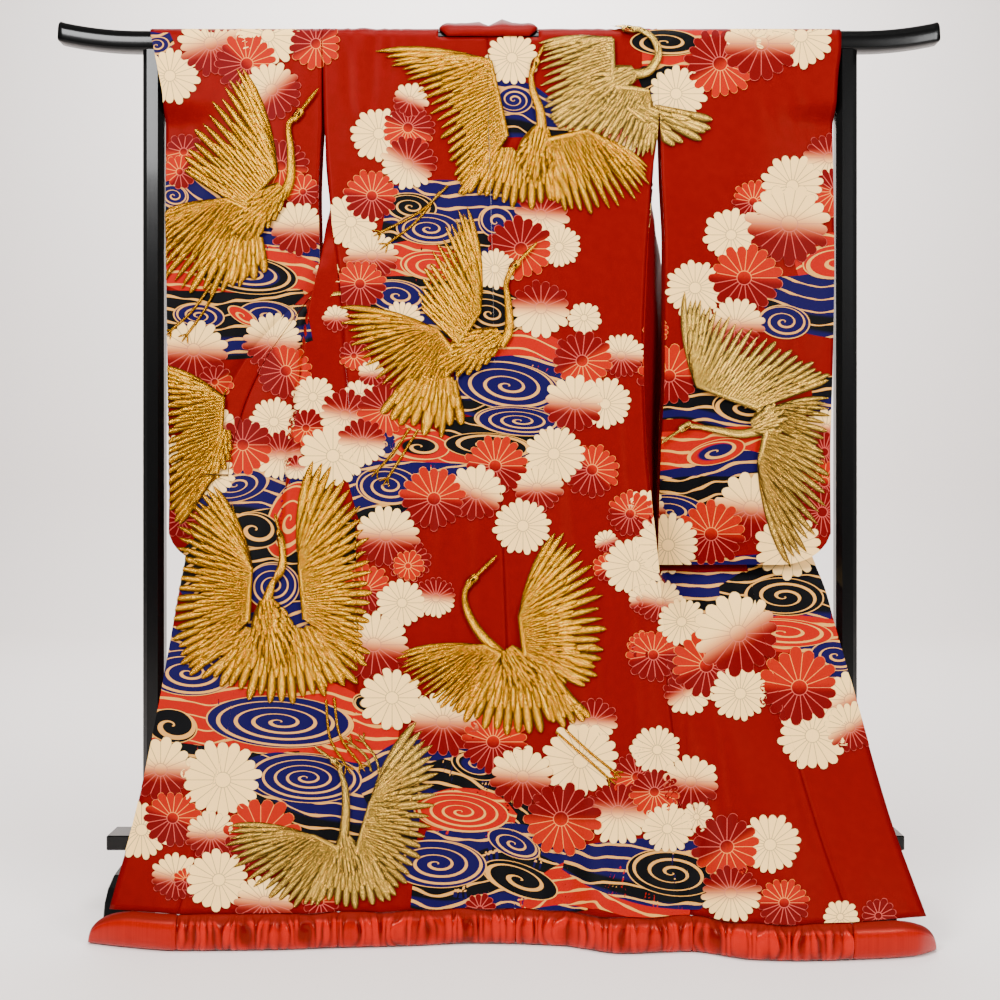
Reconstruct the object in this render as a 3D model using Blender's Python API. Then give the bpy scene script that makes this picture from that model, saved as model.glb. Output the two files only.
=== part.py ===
"""Uchikake wedding kimono hung open on a black lacquered kimono stand.

Metres, +Z up. The garment shows its back to -Y. X runs along the stand's rail.
The cloth panels are walls worked out on grids: a row for each height, a column for each line of cloth.
"""
import math

import bpy
import numpy as np

# The frame's origin is the centre of the whole model's footprint, on the floor.
RAIL_X = 0.0020
RAIL_Y = 0.0656

# Cloth
WALL = 0.0030
COLLAR_WALL = 0.0050
SEAM_GAP = 0.0003
COLLAR_CLEAR = 0.0012

# Stand
RAIL_LEFT = -0.859
RAIL_RIGHT = 0.855
RAIL_HALF_DEPTH = 0.0190
RAIL_CROWN = 1.6865
RAIL_UNDER = 1.6455
RAIL_STRAIGHT = 0.700
RAIL_RISE = 0.018
POST_X = 0.674
POST_WIDE = 0.041
CROSSBAR_LEFT = -0.759
CROSSBAR_RIGHT = 0.780
CROSSBAR_DEPTH = 0.070
CROSSBAR_TALL = 0.0285
FOOT_WIDE = 0.060
FOOT_TALL = 0.0955
FOOT_HALF = 0.243
TOUCH = 0.0003

# Heights of the cloth
RAIL_ROUND = RAIL_CROWN - RAIL_HALF_DEPTH
OVER_RAIL = RAIL_HALF_DEPTH + WALL / 2 + 0.0004
COLLAR_END = 0.820
SIDE_SEAM_TOP = 1.310
HEM_Z = 0.0622

# The neck opening spans these columns of the back's grid, from the crown of the rail to its near side
NECK_COLUMNS = (7, 13)

# How far the hanging cloth stands in front of the rail (z, y)
HANG = (
    (1.668, -0.0209),
    (1.560, -0.0225),
    (1.450, -0.0250),
    (1.300, -0.0320),
    (1.120, -0.0455),
    (0.930, -0.0670),
    (0.786, -0.0885),
    (0.600, -0.1235),
    (0.400, -0.1700),
    (0.200, -0.2270),
    (HEM_Z, -0.2780),
)

# The hem roll's middle line on the floor (x, y)
HEM_LINE = (
    (-0.722, -0.2668),
    (-0.644, -0.2900),
    (-0.552, -0.3070),
    (-0.395, -0.3030),
    (-0.280, -0.2920),
    (-0.174, -0.2850),
    (-0.040, -0.2700),
    (0.104, -0.2820),
    (0.210, -0.3210),
    (0.324, -0.3110),
    (0.427, -0.3500),
    (0.505, -0.3560),
    (0.621, -0.3470),
    (0.704, -0.3330),
    (0.752, -0.3030),
)
HEM_MIDDLE = -0.278

# Side seams and centre seam of the back (z, left seam, centre seam, right seam)
BACK_SEAMS = (
    (1.690, -0.3450, -0.024, 0.3050),
    (1.505, -0.3400, -0.022, 0.3060),
    (1.366, -0.3300, -0.018, 0.2900),
    (1.287, -0.3210, -0.016, 0.2850),
    (1.196, -0.3090, -0.014, 0.2790),
    (1.041, -0.2960, -0.010, 0.2725),
    (0.882, -0.2810, -0.004, 0.2750),
    (0.772, -0.2730, 0.002, 0.2830),
    (0.627, -0.2670, 0.008, 0.2950),
    (0.412, -0.2620, 0.016, 0.3080),
    (HEM_Z, -0.2800, 0.026, 0.3290),
)

# Left front: side, pleat crest, pleat foot, join with collar or overlap panel, free edge
# (z, side x, side y, crest x, crest y, foot x, foot y, join x, join y, edge x, edge y)
LEFT_FRONT = (
    (1.645, -0.3450, 0.0212, -0.289, 0.0214, -0.232, 0.0214, -0.176, 0.0214, -0.1195, 0.0214),
    (1.560, -0.3450, 0.0235, -0.290, 0.0290, -0.230, 0.0260, -0.180, 0.0330, -0.125, 0.0360),
    (1.450, -0.3440, 0.0260, -0.310, 0.0380, -0.270, 0.0280, -0.232, 0.0420, -0.190, 0.0460),
    (1.360, -0.3330, 0.0060, -0.331, 0.0300, -0.300, 0.0440, -0.272, 0.0520, -0.245, 0.0560),
    (1.300, -0.3225, -0.0320, -0.338, -0.0120, -0.327, 0.0120, -0.318, 0.0340, -0.298, 0.0560),
    (1.240, -0.3150, -0.0365, -0.344, -0.0370, -0.332, -0.0180, -0.334, 0.0040, -0.326, 0.0260),
    (1.208, -0.3100, -0.0390, -0.3500, -0.0500, -0.3370, -0.0350, -0.3385, -0.0230, -0.3380, -0.0100),
    (1.185, -0.3083, -0.0405, -0.3550, -0.0550, -0.3430, -0.0485, -0.3417, -0.0460, -0.3405, -0.0435),
    (1.165, -0.3070, -0.0420, -0.3590, -0.0580, -0.3510, -0.0490, -0.3540, -0.0480, -0.3580, -0.0475),
    (1.145, -0.3050, -0.0435, -0.362, -0.0610, -0.364, -0.0510, -0.368, -0.0500, -0.374, -0.0500),
    (1.120, -0.3030, -0.0455, -0.366, -0.0640, -0.373, -0.0530, -0.382, -0.0530, -0.392, -0.0520),
    (1.030, -0.2950, -0.0545, -0.374, -0.0720, -0.384, -0.0570, -0.417, -0.0580, -0.452, -0.0560),
    (0.930, -0.2855, -0.0670, -0.384, -0.0830, -0.396, -0.0680, -0.442, -0.0690, -0.492, -0.0660),
    (0.820, -0.2760, -0.0830, -0.393, -0.0980, -0.406, -0.0830, -0.455, -0.0840, -0.512, -0.0810),
    (0.700, -0.2700, -0.1030, -0.398, -0.1140, -0.414, -0.1030, -0.450, -0.1040, -0.488, -0.1020),
    (0.600, -0.2665, -0.1235, -0.400, -0.1310, -0.418, -0.1220, -0.447, -0.1220, -0.476, -0.1200),
    (0.400, -0.2620, -0.1700, -0.392, -0.1740, -0.424, -0.1690, -0.456, -0.1680, -0.487, -0.1660),
    (0.200, -0.2680, -0.2270, -0.380, -0.2290, -0.428, -0.2260, -0.478, -0.2240, -0.527, -0.2230),
    (HEM_Z, -0.2800, -0.2780, -0.370, -0.2780, -0.433, -0.2780, -0.495, -0.2780, -0.555, -0.2780),
)

# Free edge of the left collar band above COLLAR_END and of the left overlap panel below (z, x, y)
LEFT_RIM = (
    (1.645, -0.0720, 0.0330),
    (1.560, -0.0720, 0.0420),
    (1.450, -0.1380, 0.0540),
    (1.360, -0.1950, 0.0680),
    (1.300, -0.2620, 0.0820),
    (1.240, -0.3120, 0.0560),
    (1.208, -0.3330, 0.0180),
    (1.185, -0.3390, -0.0300),
    (1.165, -0.3720, -0.0465),
    (1.145, -0.3930, -0.0480),
    (1.120, -0.4180, -0.0500),
    (1.030, -0.4940, -0.0560),
    (0.930, -0.5405, -0.0660),
    (0.820, -0.5620, -0.0800),
    (0.700, -0.5820, -0.0980),
    (0.600, -0.5980, -0.1140),
    (0.400, -0.6240, -0.1560),
    (0.200, -0.6540, -0.2160),
    (HEM_Z, -0.6810, -0.2780),
)

# Right front, behind the sleeve down to its bottom, then out in front of the post
# (z, side x, side y, turn x, turn y, rear x, rear y, join x, join y, edge x, edge y)
RIGHT_FRONT = (
    (1.645, 0.3050, 0.0212, 0.247, 0.0214, 0.189, 0.0214, 0.132, 0.0214, 0.0740, 0.0214),
    (1.560, 0.3055, 0.0235, 0.258, 0.0300, 0.203, 0.0260, 0.145, 0.0330, 0.086, 0.0360),
    (1.450, 0.3040, 0.0260, 0.272, 0.0370, 0.236, 0.0300, 0.196, 0.0440, 0.148, 0.0480),
    (1.360, 0.2940, 0.0060, 0.298, 0.0340, 0.282, 0.0500, 0.252, 0.0570, 0.215, 0.0620),
    (1.300, 0.2860, -0.0320, 0.302, 0.0040, 0.306, 0.0440, 0.286, 0.0680, 0.262, 0.0800),
    (1.240, 0.2820, -0.0365, 0.303, 0.0040, 0.318, 0.0440, 0.322, 0.0700, 0.310, 0.0920),
    (1.150, 0.2765, -0.0430, 0.302, 0.0010, 0.321, 0.0440, 0.346, 0.0680, 0.360, 0.0860),
    (1.040, 0.2725, -0.0535, 0.299, -0.0010, 0.320, 0.0440, 0.366, 0.0590, 0.408, 0.0700),
    (0.880, 0.2750, -0.0740, 0.294, -0.0060, 0.314, 0.0420, 0.395, 0.0540, 0.470, 0.0590),
    (0.820, 0.2795, -0.0830, 0.293, -0.0140, 0.312, 0.0380, 0.402, 0.0510, 0.489, 0.0550),
    (0.760, 0.2838, -0.0925, 0.2905, -0.030, 0.306, 0.0270, 0.398, 0.0460, 0.482, 0.0520),
    (0.680, 0.2905, -0.1075, 0.2955, -0.0560, 0.302, 0.0130, 0.393, 0.0330, 0.480, 0.0400),
    (0.640, 0.2935, -0.1155, 0.3000, -0.0700, 0.304, 0.0050, 0.394, 0.0180, 0.483, 0.0240),
    (0.600, 0.2965, -0.1235, 0.313, -0.1010, 0.339, -0.0480, 0.410, -0.0160, 0.487, -0.0020),
    (0.527, 0.3010, -0.1400, 0.330, -0.1260, 0.372, -0.0960, 0.435, -0.0660, 0.496, -0.0480),
    (0.400, 0.3085, -0.1700, 0.350, -0.1660, 0.392, -0.1540, 0.455, -0.1330, 0.516, -0.1160),
    (0.200, 0.3200, -0.2270, 0.367, -0.2275, 0.414, -0.2240, 0.485, -0.2180, 0.556, -0.2120),
    (HEM_Z, 0.3290, -0.2780, 0.382, -0.2780, 0.434, -0.2780, 0.513, -0.2780, 0.592, -0.2780),
)

# Free edge of the right collar band above COLLAR_END and of the right overlap panel below (z, x, y)
RIGHT_RIM = (
    (1.645, 0.0270, 0.0330),
    (1.560, 0.0330, 0.0420),
    (1.450, 0.0960, 0.0560),
    (1.360, 0.1650, 0.0740),
    (1.300, 0.2140, 0.0940),
    (1.240, 0.2700, 0.1150),
    (1.150, 0.3780, 0.1260),
    (1.040, 0.4480, 0.0980),
    (0.880, 0.5160, 0.0790),
    (0.820, 0.5420, 0.0680),
    (0.760, 0.5720, 0.0570),
    (0.680, 0.6060, 0.0400),
    (0.640, 0.6180, 0.0220),
    (0.600, 0.6280, -0.0060),
    (0.527, 0.6400, -0.0370),
    (0.400, 0.6620, -0.0920),
    (0.200, 0.6950, -0.1960),
    (HEM_Z, 0.7300, -0.2780),
)

# Collar at a corner of the neck, from the far side over the rail to the near side
# (turn round the rail, join inset, crest inset, crest y, crest z, rim inset, rim y, rim z)
NECK_CORNER = (
    (90.0, 0.0016, 0.022, 0.0270, 1.6690, 0.044, 0.0330, 1.6740),
    (60.0, 0.0016, 0.018, 0.0265, 1.6850, 0.038, 0.0330, 1.6870),
    (30.0, 0.0016, 0.014, 0.0180, 1.6950, 0.033, 0.0290, 1.6960),
    (0.0, 0.0020, 0.013, 0.0040, 1.6990, 0.031, 0.0220, 1.7010),
    (-30.0, 0.0030, 0.016, -0.0090, 1.6970, 0.034, 0.0170, 1.7030),
    (-60.0, 0.0070, 0.023, -0.0160, 1.6920, 0.040, 0.0150, 1.7040),
    (-88.0, 0.0180, 0.032, -0.0185, 1.6890, 0.047, 0.0140, 1.7050),
)
# Collar along the back of the neck (x, crest y, crest z, rim y, rim z)
NECK = (
    (-0.066, -0.0185, 1.6890, 0.0120, 1.7040),
    (-0.041, -0.0185, 1.6890, 0.0100, 1.7060),
    (-0.022, -0.0225, 1.6850, 0.0060, 1.6960),
    (0.004, -0.0185, 1.6910, 0.0090, 1.7110),
    (0.024, -0.0185, 1.6890, 0.0120, 1.7050),
)
NECK_JOIN_Y = -0.0232
NECK_JOIN_Z = 1.6682

# Outer and inner edges of the sleeves (z, outer x, inner x)
LEFT_SLEEVE = (
    (1.690, -0.6810, -0.3454),
    (1.640, -0.6690, -0.3454),
    (1.600, -0.6610, -0.3454),
    (1.545, -0.6520, -0.3454),
    (1.500, -0.6515, -0.3450),
    (1.450, -0.6515, -0.3475),
    (1.366, -0.6515, -0.3505),
    (1.240, -0.6500, -0.3480),
    (0.900, -0.6450, -0.3400),
    (0.773, -0.6430, -0.3370),
    (0.646, -0.6430, -0.3340),
)
RIGHT_SLEEVE = (
    (1.690, 0.6620, 0.3054),
    (1.640, 0.6600, 0.3056),
    (1.600, 0.6550, 0.3060),
    (1.545, 0.6515, 0.3066),
    (1.486, 0.6480, 0.3100),
    (1.408, 0.6490, 0.3120),
    (1.266, 0.6510, 0.3180),
    (1.042, 0.6480, 0.3180),
    (0.849, 0.6420, 0.3100),
    (0.736, 0.6420, 0.3070),
    (0.646, 0.6420, 0.3060),
)
SLEEVE_BOTTOM = 0.646
SLEEVE_CORNER = 0.075
SLEEVE_CLOTH = 0.0025
CUFF_BOTTOM = 1.500

# Half the distance between a sleeve's two layers, and the middle line between them (z, half, middle)
SLEEVE_DEPTH = (
    (1.668, OVER_RAIL, 0.0000),
    (1.645, 0.0226, 0.0000),
    (1.600, 0.0228, 0.0000),
    (1.450, 0.0240, -0.0010),
    (1.200, 0.0250, -0.0040),
    (0.900, 0.0240, -0.0060),
    (0.760, 0.0180, -0.0090),
    (0.680, 0.0080, -0.0130),
    (0.646, 0.0036, -0.0150),
)

# Long soft folds of the panels (x at the rail, x at the hem, half width, depth, first height)
FOLDS = (
    (-0.420, -0.610, 0.035, 0.010, 0.55),
    (-0.330, -0.330, 0.028, 0.009, 0.62),
    (-0.230, -0.200, 0.034, 0.010, 1.20),
    (-0.140, -0.110, 0.030, 0.007, 0.90),
    (-0.060, -0.020, 0.032, 0.011, 1.30),
    (0.040, 0.085, 0.030, 0.008, 0.80),
    (0.130, 0.165, 0.034, 0.012, 1.45),
    (0.215, 0.260, 0.028, 0.010, 1.10),
    (0.330, 0.385, 0.032, 0.013, 0.55),
    (0.430, 0.480, 0.034, 0.012, 0.48),
    (0.540, 0.640, 0.038, 0.011, 0.40),
)

# Heights of the grid rows below the rail
ROWS = (
    1.645, 1.600, 1.540, 1.480, 1.420, 1.370, 1.335, 1.300, 1.265, 1.235, 1.208, 1.185, 1.165, 1.145,
    1.120, 1.080, 1.030, 0.960, 0.890, 0.820, 0.750, 0.690, 0.640, 0.590, 0.530, 0.460, 0.380, 0.300, 0.220,
    0.145, 0.090, HEM_Z,
)
CROWN_ANGLES = (0.0, 22.5, 45.0, 67.5, 90.0)
BACK_COLUMNS = 10
FRONT_COLUMNS = 10
FRONT_GUIDES = (0.0, 0.2, 0.4, 0.7, 1.0)
BAND_COLUMNS = 3
OKUMI_DROP = 0.004

# Hem roll
ROLL_TALL = 0.0602
ROLL_DEEP = 0.038
ROLL_FLOOR = 0.0008
ROLL_SIDES = 10
GATHER_PITCH = 0.0156
GATHER_PINCH = 0.88
ROLL_SEAMS = (-0.7190, -0.5550, -0.2800, 0.0260, 0.3290, 0.5950, 0.7500)
ROLL_NAMES = ("okumi_left", "front_left", "back_left", "back_right", "front_right", "okumi_right")

# Rows that end at a stated height are found to within this
TOLERANCE = 1e-6
# How far a collar corner's join stands off the rail's round
COLLAR_RAISE = 0.0014
# Sleeve: cells across, heights of its rows, half the distance between its layers at a sewn edge,
# where across and how high that narrowing starts, and the same for the bottom corner's round
SLEEVE_COLUMNS = 8
SLEEVE_ROWS = (1.640, 1.600, 1.570, 1.545, 1.522, CUFF_BOTTOM, 1.430, 1.340, 1.240, 1.120, 1.000, 0.890)
SLEEVE_LOWER_ROWS = (0.800, 0.745, 0.705, 0.675, 0.656, SLEEVE_BOTTOM)
SEWN_HALF, NARROW_FROM, NARROW_HIGH, NARROW_DROP = 0.0036, 0.55, 1.545, 0.045
CORNER_FROM, CORNER_ROUND, CORNER_HIGH = 0.70, 0.96, 0.830
# Hem roll: its size at its tips and at a gathered length's ends, and how the gathers vary
PLAIN_STATIONS, TIP_SWELL, END_SWELL = 6, 0.80, 0.84
PITCH_SHIFT, PITCH_WAVES, PINCH_SHIFT, PINCH_WAVES = 0.006, 17.0, 0.03, 2.3
ROLL_SQUARE_Y, ROLL_SQUARE_Z = 0.8, 0.9
# Stand: a foot's outline (distance in from its end, height), bevels, and the rail's raised ends
FOOT_SIDE = (
    (0.004, 0.0), (0.0, 0.006), (0.002, 0.034), (0.011, 0.058), (0.033, 0.078), (0.068, 0.091),
    (0.108, FOOT_TALL),
)
EDGE_BEVEL, BEVEL_ANGLE, POST_CHAMFER = 0.002, 50.0, 0.010
RAIL_SWEEP, RAIL_RAKE, RAIL_EDGE, RAIL_TOP_POINTS = (0.74, 0.78, 0.82), 0.05, 0.004, 9

CLOTH_RED = (0.45, 0.003, 0.008)
SATIN_RED = (0.66, 0.016, 0.006)
LACQUER = (0.004, 0.004, 0.005)


def material(name, colour, roughness):
    """A Principled material with one colour and roughness."""
    finish = bpy.data.materials.new(name)
    finish.use_nodes = True
    shader = finish.node_tree.nodes["Principled BSDF"]
    shader.inputs["Base Color"].default_value = (*colour, 1.0)
    shader.inputs["Roughness"].default_value = roughness
    return finish


def make_object(name, points, faces, finish):
    """Put points, moved to the part's frame, and faces into a new object."""
    mesh = bpy.data.meshes.new(name)
    moved = np.asarray(points, float).reshape(-1, 3) + (RAIL_X, RAIL_Y, 0.0)
    mesh.from_pydata(moved.tolist(), [], faces)
    mesh.validate()
    mesh.materials.append(finish)
    made = bpy.data.objects.new(name, mesh)
    bpy.context.scene.collection.objects.link(made)
    return made


def monotone_curve(x, y, at):
    """A monotone cubic through (x, y), which never overshoots a point."""
    step = np.diff(x)
    slope = np.diff(y) / step
    same = slope[:-1] * slope[1:] > 0
    first, second = np.where(same, slope[:-1], 1.0), np.where(same, slope[1:], 1.0)
    weight_a, weight_b = 2 * step[1:] + step[:-1], step[1:] + 2 * step[:-1]
    mean = (weight_a + weight_b) / (weight_a / first + weight_b / second)
    tangent = np.concatenate([slope[:1], np.where(same, mean, 0.0), slope[-1:]])
    at = np.clip(np.asarray(at, float), x[0], x[-1])
    i = np.clip(np.searchsorted(x, at) - 1, 0, len(x) - 2)
    t = (at - x[i]) / step[i]
    start = (1 + 2 * t) * (1 - t) ** 2 * y[i] + t * (1 - t) ** 2 * step[i] * tangent[i]
    return start + t * t * (3 - 2 * t) * y[i + 1] + t * t * (t - 1) * step[i] * tangent[i + 1]


def curve_through(table, column, at):
    """A table's column as a smooth curve of its first column."""
    rows = np.array(table, float)
    rows = rows[np.argsort(rows[:, 0])]
    return monotone_curve(rows[:, 0], rows[:, column], at)


def ease(t):
    """0 before 0, 1 after 1, smooth between."""
    t = np.clip(t, 0.0, 1.0)
    return t * t * (3 - 2 * t)


def down(z):
    """How far down the cloth a height is: 0 at the rail, 1 at the hem."""
    return np.clip((RAIL_ROUND - z) / (RAIL_ROUND - HEM_Z), 0.0, 1.0)


def sway(x, z):
    """What the hem's curved line and the long folds add to the cloth's depth."""
    hem = curve_through(HEM_LINE, 1, x) - HEM_MIDDLE
    depth = hem * down(z) ** 3
    for top, bottom, width, deep, first in FOLDS:
        middle = top + (bottom - top) * down(z)
        strength = ease((first - z) / (first - HEM_Z + 0.2))
        depth = depth - deep * strength * np.exp(-(((x - middle) / width) ** 2))
    return depth


def normals_of(grid):
    """Unit normals of a grid of points, (down the rows) x (along the columns)."""
    along_rows = np.gradient(grid, axis=0, edge_order=2)
    along_columns = np.gradient(grid, axis=1, edge_order=2)
    normal = np.cross(along_rows, along_columns)
    return normal / np.linalg.norm(normal, axis=2, keepdims=True)


def wall(name, grid, normal, finish, thickness=WALL, cut=None):
    """A closed wall of this thickness, centred on the grid. cut marks the cells that are left out."""
    rows, columns = grid.shape[:2]
    count = rows * columns
    outer = (grid + normal * thickness / 2).reshape(-1, 3)
    inner = (grid - normal * thickness / 2).reshape(-1, 3)
    index = np.arange(count).reshape(rows, columns)
    cells = []
    for j in range(rows - 1):
        for i in range(columns - 1):
            if cut is None or not cut[j, i]:
                cells.append((index[j, i], index[j + 1, i], index[j + 1, i + 1], index[j, i + 1]))
    edges = {(cell[k], cell[(k + 1) % 4]) for cell in cells for k in range(4)}
    faces = list(cells)
    faces += [tuple(v + count for v in reversed(cell)) for cell in cells]
    faces += [(b, a, a + count, b + count) for a, b in sorted(edges) if (b, a) not in edges]
    used = sorted({v for face in faces for v in face})
    place = {v: n for n, v in enumerate(used)}
    points = np.concatenate([outer, inner])[used]
    return make_object(name, points, [tuple(place[v] for v in face) for face in faces], finish)


def crown_rows(x, side):
    """Points over the rail at each crown angle, on the camera side (-1) or the far side (+1)."""
    rows = []
    for angle in CROWN_ANGLES:
        turn = math.radians(angle)
        y = side * max(OVER_RAIL * math.sin(turn), SEAM_GAP / 2)
        z = RAIL_ROUND + OVER_RAIL * math.cos(turn)
        rows.append(np.stack([x, np.full_like(x, y), np.full_like(x, z)], axis=1))
    return rows


def back_grid():
    """Both halves of the back: 2 * BACK_COLUMNS cells across, from the left side seam to the right one."""
    share = np.linspace(0.0, 1.0, BACK_COLUMNS + 1)

    def across(z):
        left, centre, right = (curve_through(BACK_SEAMS, c, z) for c in (1, 2, 3))
        return np.concatenate([left + (centre - left) * share, centre + (right - centre) * share[1:]])

    rows = crown_rows(across(RAIL_ROUND), -1.0)
    for z in ROWS:
        x = across(z)
        y = curve_through(HANG, 1, z) + sway(x, z)
        rows.append(np.stack([x, y, np.full_like(x, z)], axis=1))
    return np.stack(rows)


def front_grid(table, side):
    """A front from its side edge to the join with the collar and overlap panel. side is -1 left, 1 right."""
    guides = np.array(FRONT_GUIDES)
    share = np.linspace(0.0, 1.0, FRONT_COLUMNS + 1)
    rows = []
    for z in ROWS:
        x = np.array([curve_through(table, c, z) for c in (1, 3, 5, 7, 9)])
        y = np.array([curve_through(table, c, z) for c in (2, 4, 6, 8, 10)])
        if z <= SIDE_SEAM_TOP:
            x[0] = curve_through(BACK_SEAMS, 1 if side < 0 else 3, z)
            y[0] = curve_through(HANG, 1, z)
        x_row = monotone_curve(guides, x, share)
        y_row = monotone_curve(guides, y, share)
        rows.append(np.stack([x_row, y_row + sway(x_row, z), np.full_like(x_row, z)], axis=1))
    rows = crown_rows(rows[0][:, 0], 1.0) + rows
    grid = np.stack(rows)
    return grid[:, ::-1] if side < 0 else grid


def band_grid(front, rim, rows, side):
    """The strip from a front's join to its free edge on the given rows, join column first on the left."""
    join = front[:, 0] if side < 0 else front[:, -1]
    share = np.linspace(0.0, 1.0, BAND_COLUMNS + 1)
    made = []
    for j in rows:
        z = join[j, 2]
        edge = np.array([curve_through(rim, 1, z), curve_through(rim, 2, z), z])
        edge[1] += sway(edge[0], z)
        made.append(join[j] + (edge - join[j]) * share[:, None])
    grid = np.stack(made)
    return grid[:, ::-1] if side < 0 else grid


def pull_in(grid, column, distance):
    """Move a border column along the cloth, away from its neighbour."""
    inner = 1 if column == 0 else -2
    along = grid[:, inner] - grid[:, column]
    grid[:, column] += along / np.linalg.norm(along, axis=1, keepdims=True) * distance


def share_normals(first, first_column, second, second_column, rows):
    """Give two panels the same normals along the seam that they share."""
    mean = first[rows, first_column] + second[rows, second_column]
    mean = mean / np.linalg.norm(mean, axis=1, keepdims=True)
    first[rows, first_column] = mean
    second[rows, second_column] = mean


def body(cloth):
    """The back, the fronts and the overlap panels, which meet at their seams."""
    back = back_grid()
    left = front_grid(LEFT_FRONT, -1)
    right = front_grid(RIGHT_FRONT, 1)
    first_row = len(CROWN_ANGLES)
    heights = np.array(ROWS)
    sewn = first_row + np.flatnonzero(heights <= SIDE_SEAM_TOP)
    lower = first_row + np.flatnonzero(heights <= COLLAR_END + TOLERANCE)
    okumi_left = band_grid(left, LEFT_RIM, lower, -1)
    okumi_right = band_grid(right, RIGHT_RIM, lower, 1)

    back_normal, left_normal, right_normal = normals_of(back), normals_of(left), normals_of(right)
    okumi_left_normal, okumi_right_normal = normals_of(okumi_left), normals_of(okumi_right)
    share_normals(back_normal, 0, left_normal, -1, sewn)
    share_normals(back_normal, -1, right_normal, 0, sewn)
    mean_left = left_normal[lower, 0] + okumi_left_normal[:, -1]
    mean_right = right_normal[lower, -1] + okumi_right_normal[:, 0]
    mean_left = mean_left / np.linalg.norm(mean_left, axis=1, keepdims=True)
    mean_right = mean_right / np.linalg.norm(mean_right, axis=1, keepdims=True)
    left_normal[lower, 0] = okumi_left_normal[:, -1] = mean_left
    right_normal[lower, -1] = okumi_right_normal[:, 0] = mean_right

    half = BACK_COLUMNS
    panels = {
        "back_left": (back[:, : half + 1].copy(), back_normal[:, : half + 1]),
        "back_right": (back[:, half:].copy(), back_normal[:, half:]),
        "front_left": (left.copy(), left_normal),
        "front_right": (right.copy(), right_normal),
        "okumi_left": (okumi_left.copy(), okumi_left_normal),
        "okumi_right": (okumi_right.copy(), okumi_right_normal),
    }
    for name, (grid, normal) in panels.items():
        pull_in(grid, 0, SEAM_GAP)
        pull_in(grid, -1, SEAM_GAP)
        if name.startswith("okumi"):
            grid[0, :, 2] -= OKUMI_DROP
        cut = None
        if name.startswith("back"):
            column = np.arange(half) + (half if name == "back_right" else 0)
            in_neck = (column >= NECK_COLUMNS[0]) & (column < NECK_COLUMNS[1])
            cut = (np.arange(len(grid) - 1) < first_row - 1)[:, None] & in_neck[None, :]
        wall(name, grid, normal, cloth, WALL, cut)
    return back, left, right


def neck_corner(neck_x, side):
    """Collar stations round a corner of the neck, from the far side to the near one."""
    radius = RAIL_HALF_DEPTH + COLLAR_WALL / 2 + COLLAR_RAISE
    stations = []
    for turn, inset, crest_inset, crest_y, crest_z, rim_inset, rim_y, rim_z in NECK_CORNER:
        angle = math.radians(turn)
        join_z = max(RAIL_ROUND + radius * math.cos(angle), NECK_JOIN_Z)
        join = (neck_x - side * inset, radius * math.sin(angle), join_z)
        crest = (neck_x - side * crest_inset, crest_y, crest_z)
        stations.append(np.array([join, crest, (neck_x - side * rim_inset, rim_y, rim_z)]))
    return stations


def collar(cloth, back, left, right):
    """One folded band: up the left front's edge, round the back of the neck and down the right one's."""
    first_row = len(CROWN_ANGLES)
    upper = [first_row + j for j, z in enumerate(ROWS) if z >= COLLAR_END - TOLERANCE]
    neck_left, neck_right = (back[0, column, 0] for column in NECK_COLUMNS)
    stations = [band_station(left[j, 0], LEFT_RIM) for j in reversed(upper)]
    stations += neck_corner(neck_left, -1)
    for x, crest_y, crest_z, rim_y, rim_z in NECK:
        stations.append(np.array([(x, NECK_JOIN_Y, NECK_JOIN_Z), (x, crest_y, crest_z), (x, rim_y, rim_z)]))
    stations += reversed(neck_corner(neck_right, 1))
    stations += [band_station(right[j, -1], RIGHT_RIM) for j in upper]
    grid = np.stack(stations)
    normal = normals_of(grid)
    pull_in(grid, 0, COLLAR_CLEAR)
    wall("collar", grid, normal, cloth, COLLAR_WALL)


def band_station(join, rim):
    """Three points across the collar band at a join point's height."""
    z = join[2]
    edge = np.array([curve_through(rim, 1, z), curve_through(rim, 2, z), z])
    edge[1] += sway(edge[0], z)
    return np.stack([join, (join + edge) / 2, edge])


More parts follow.
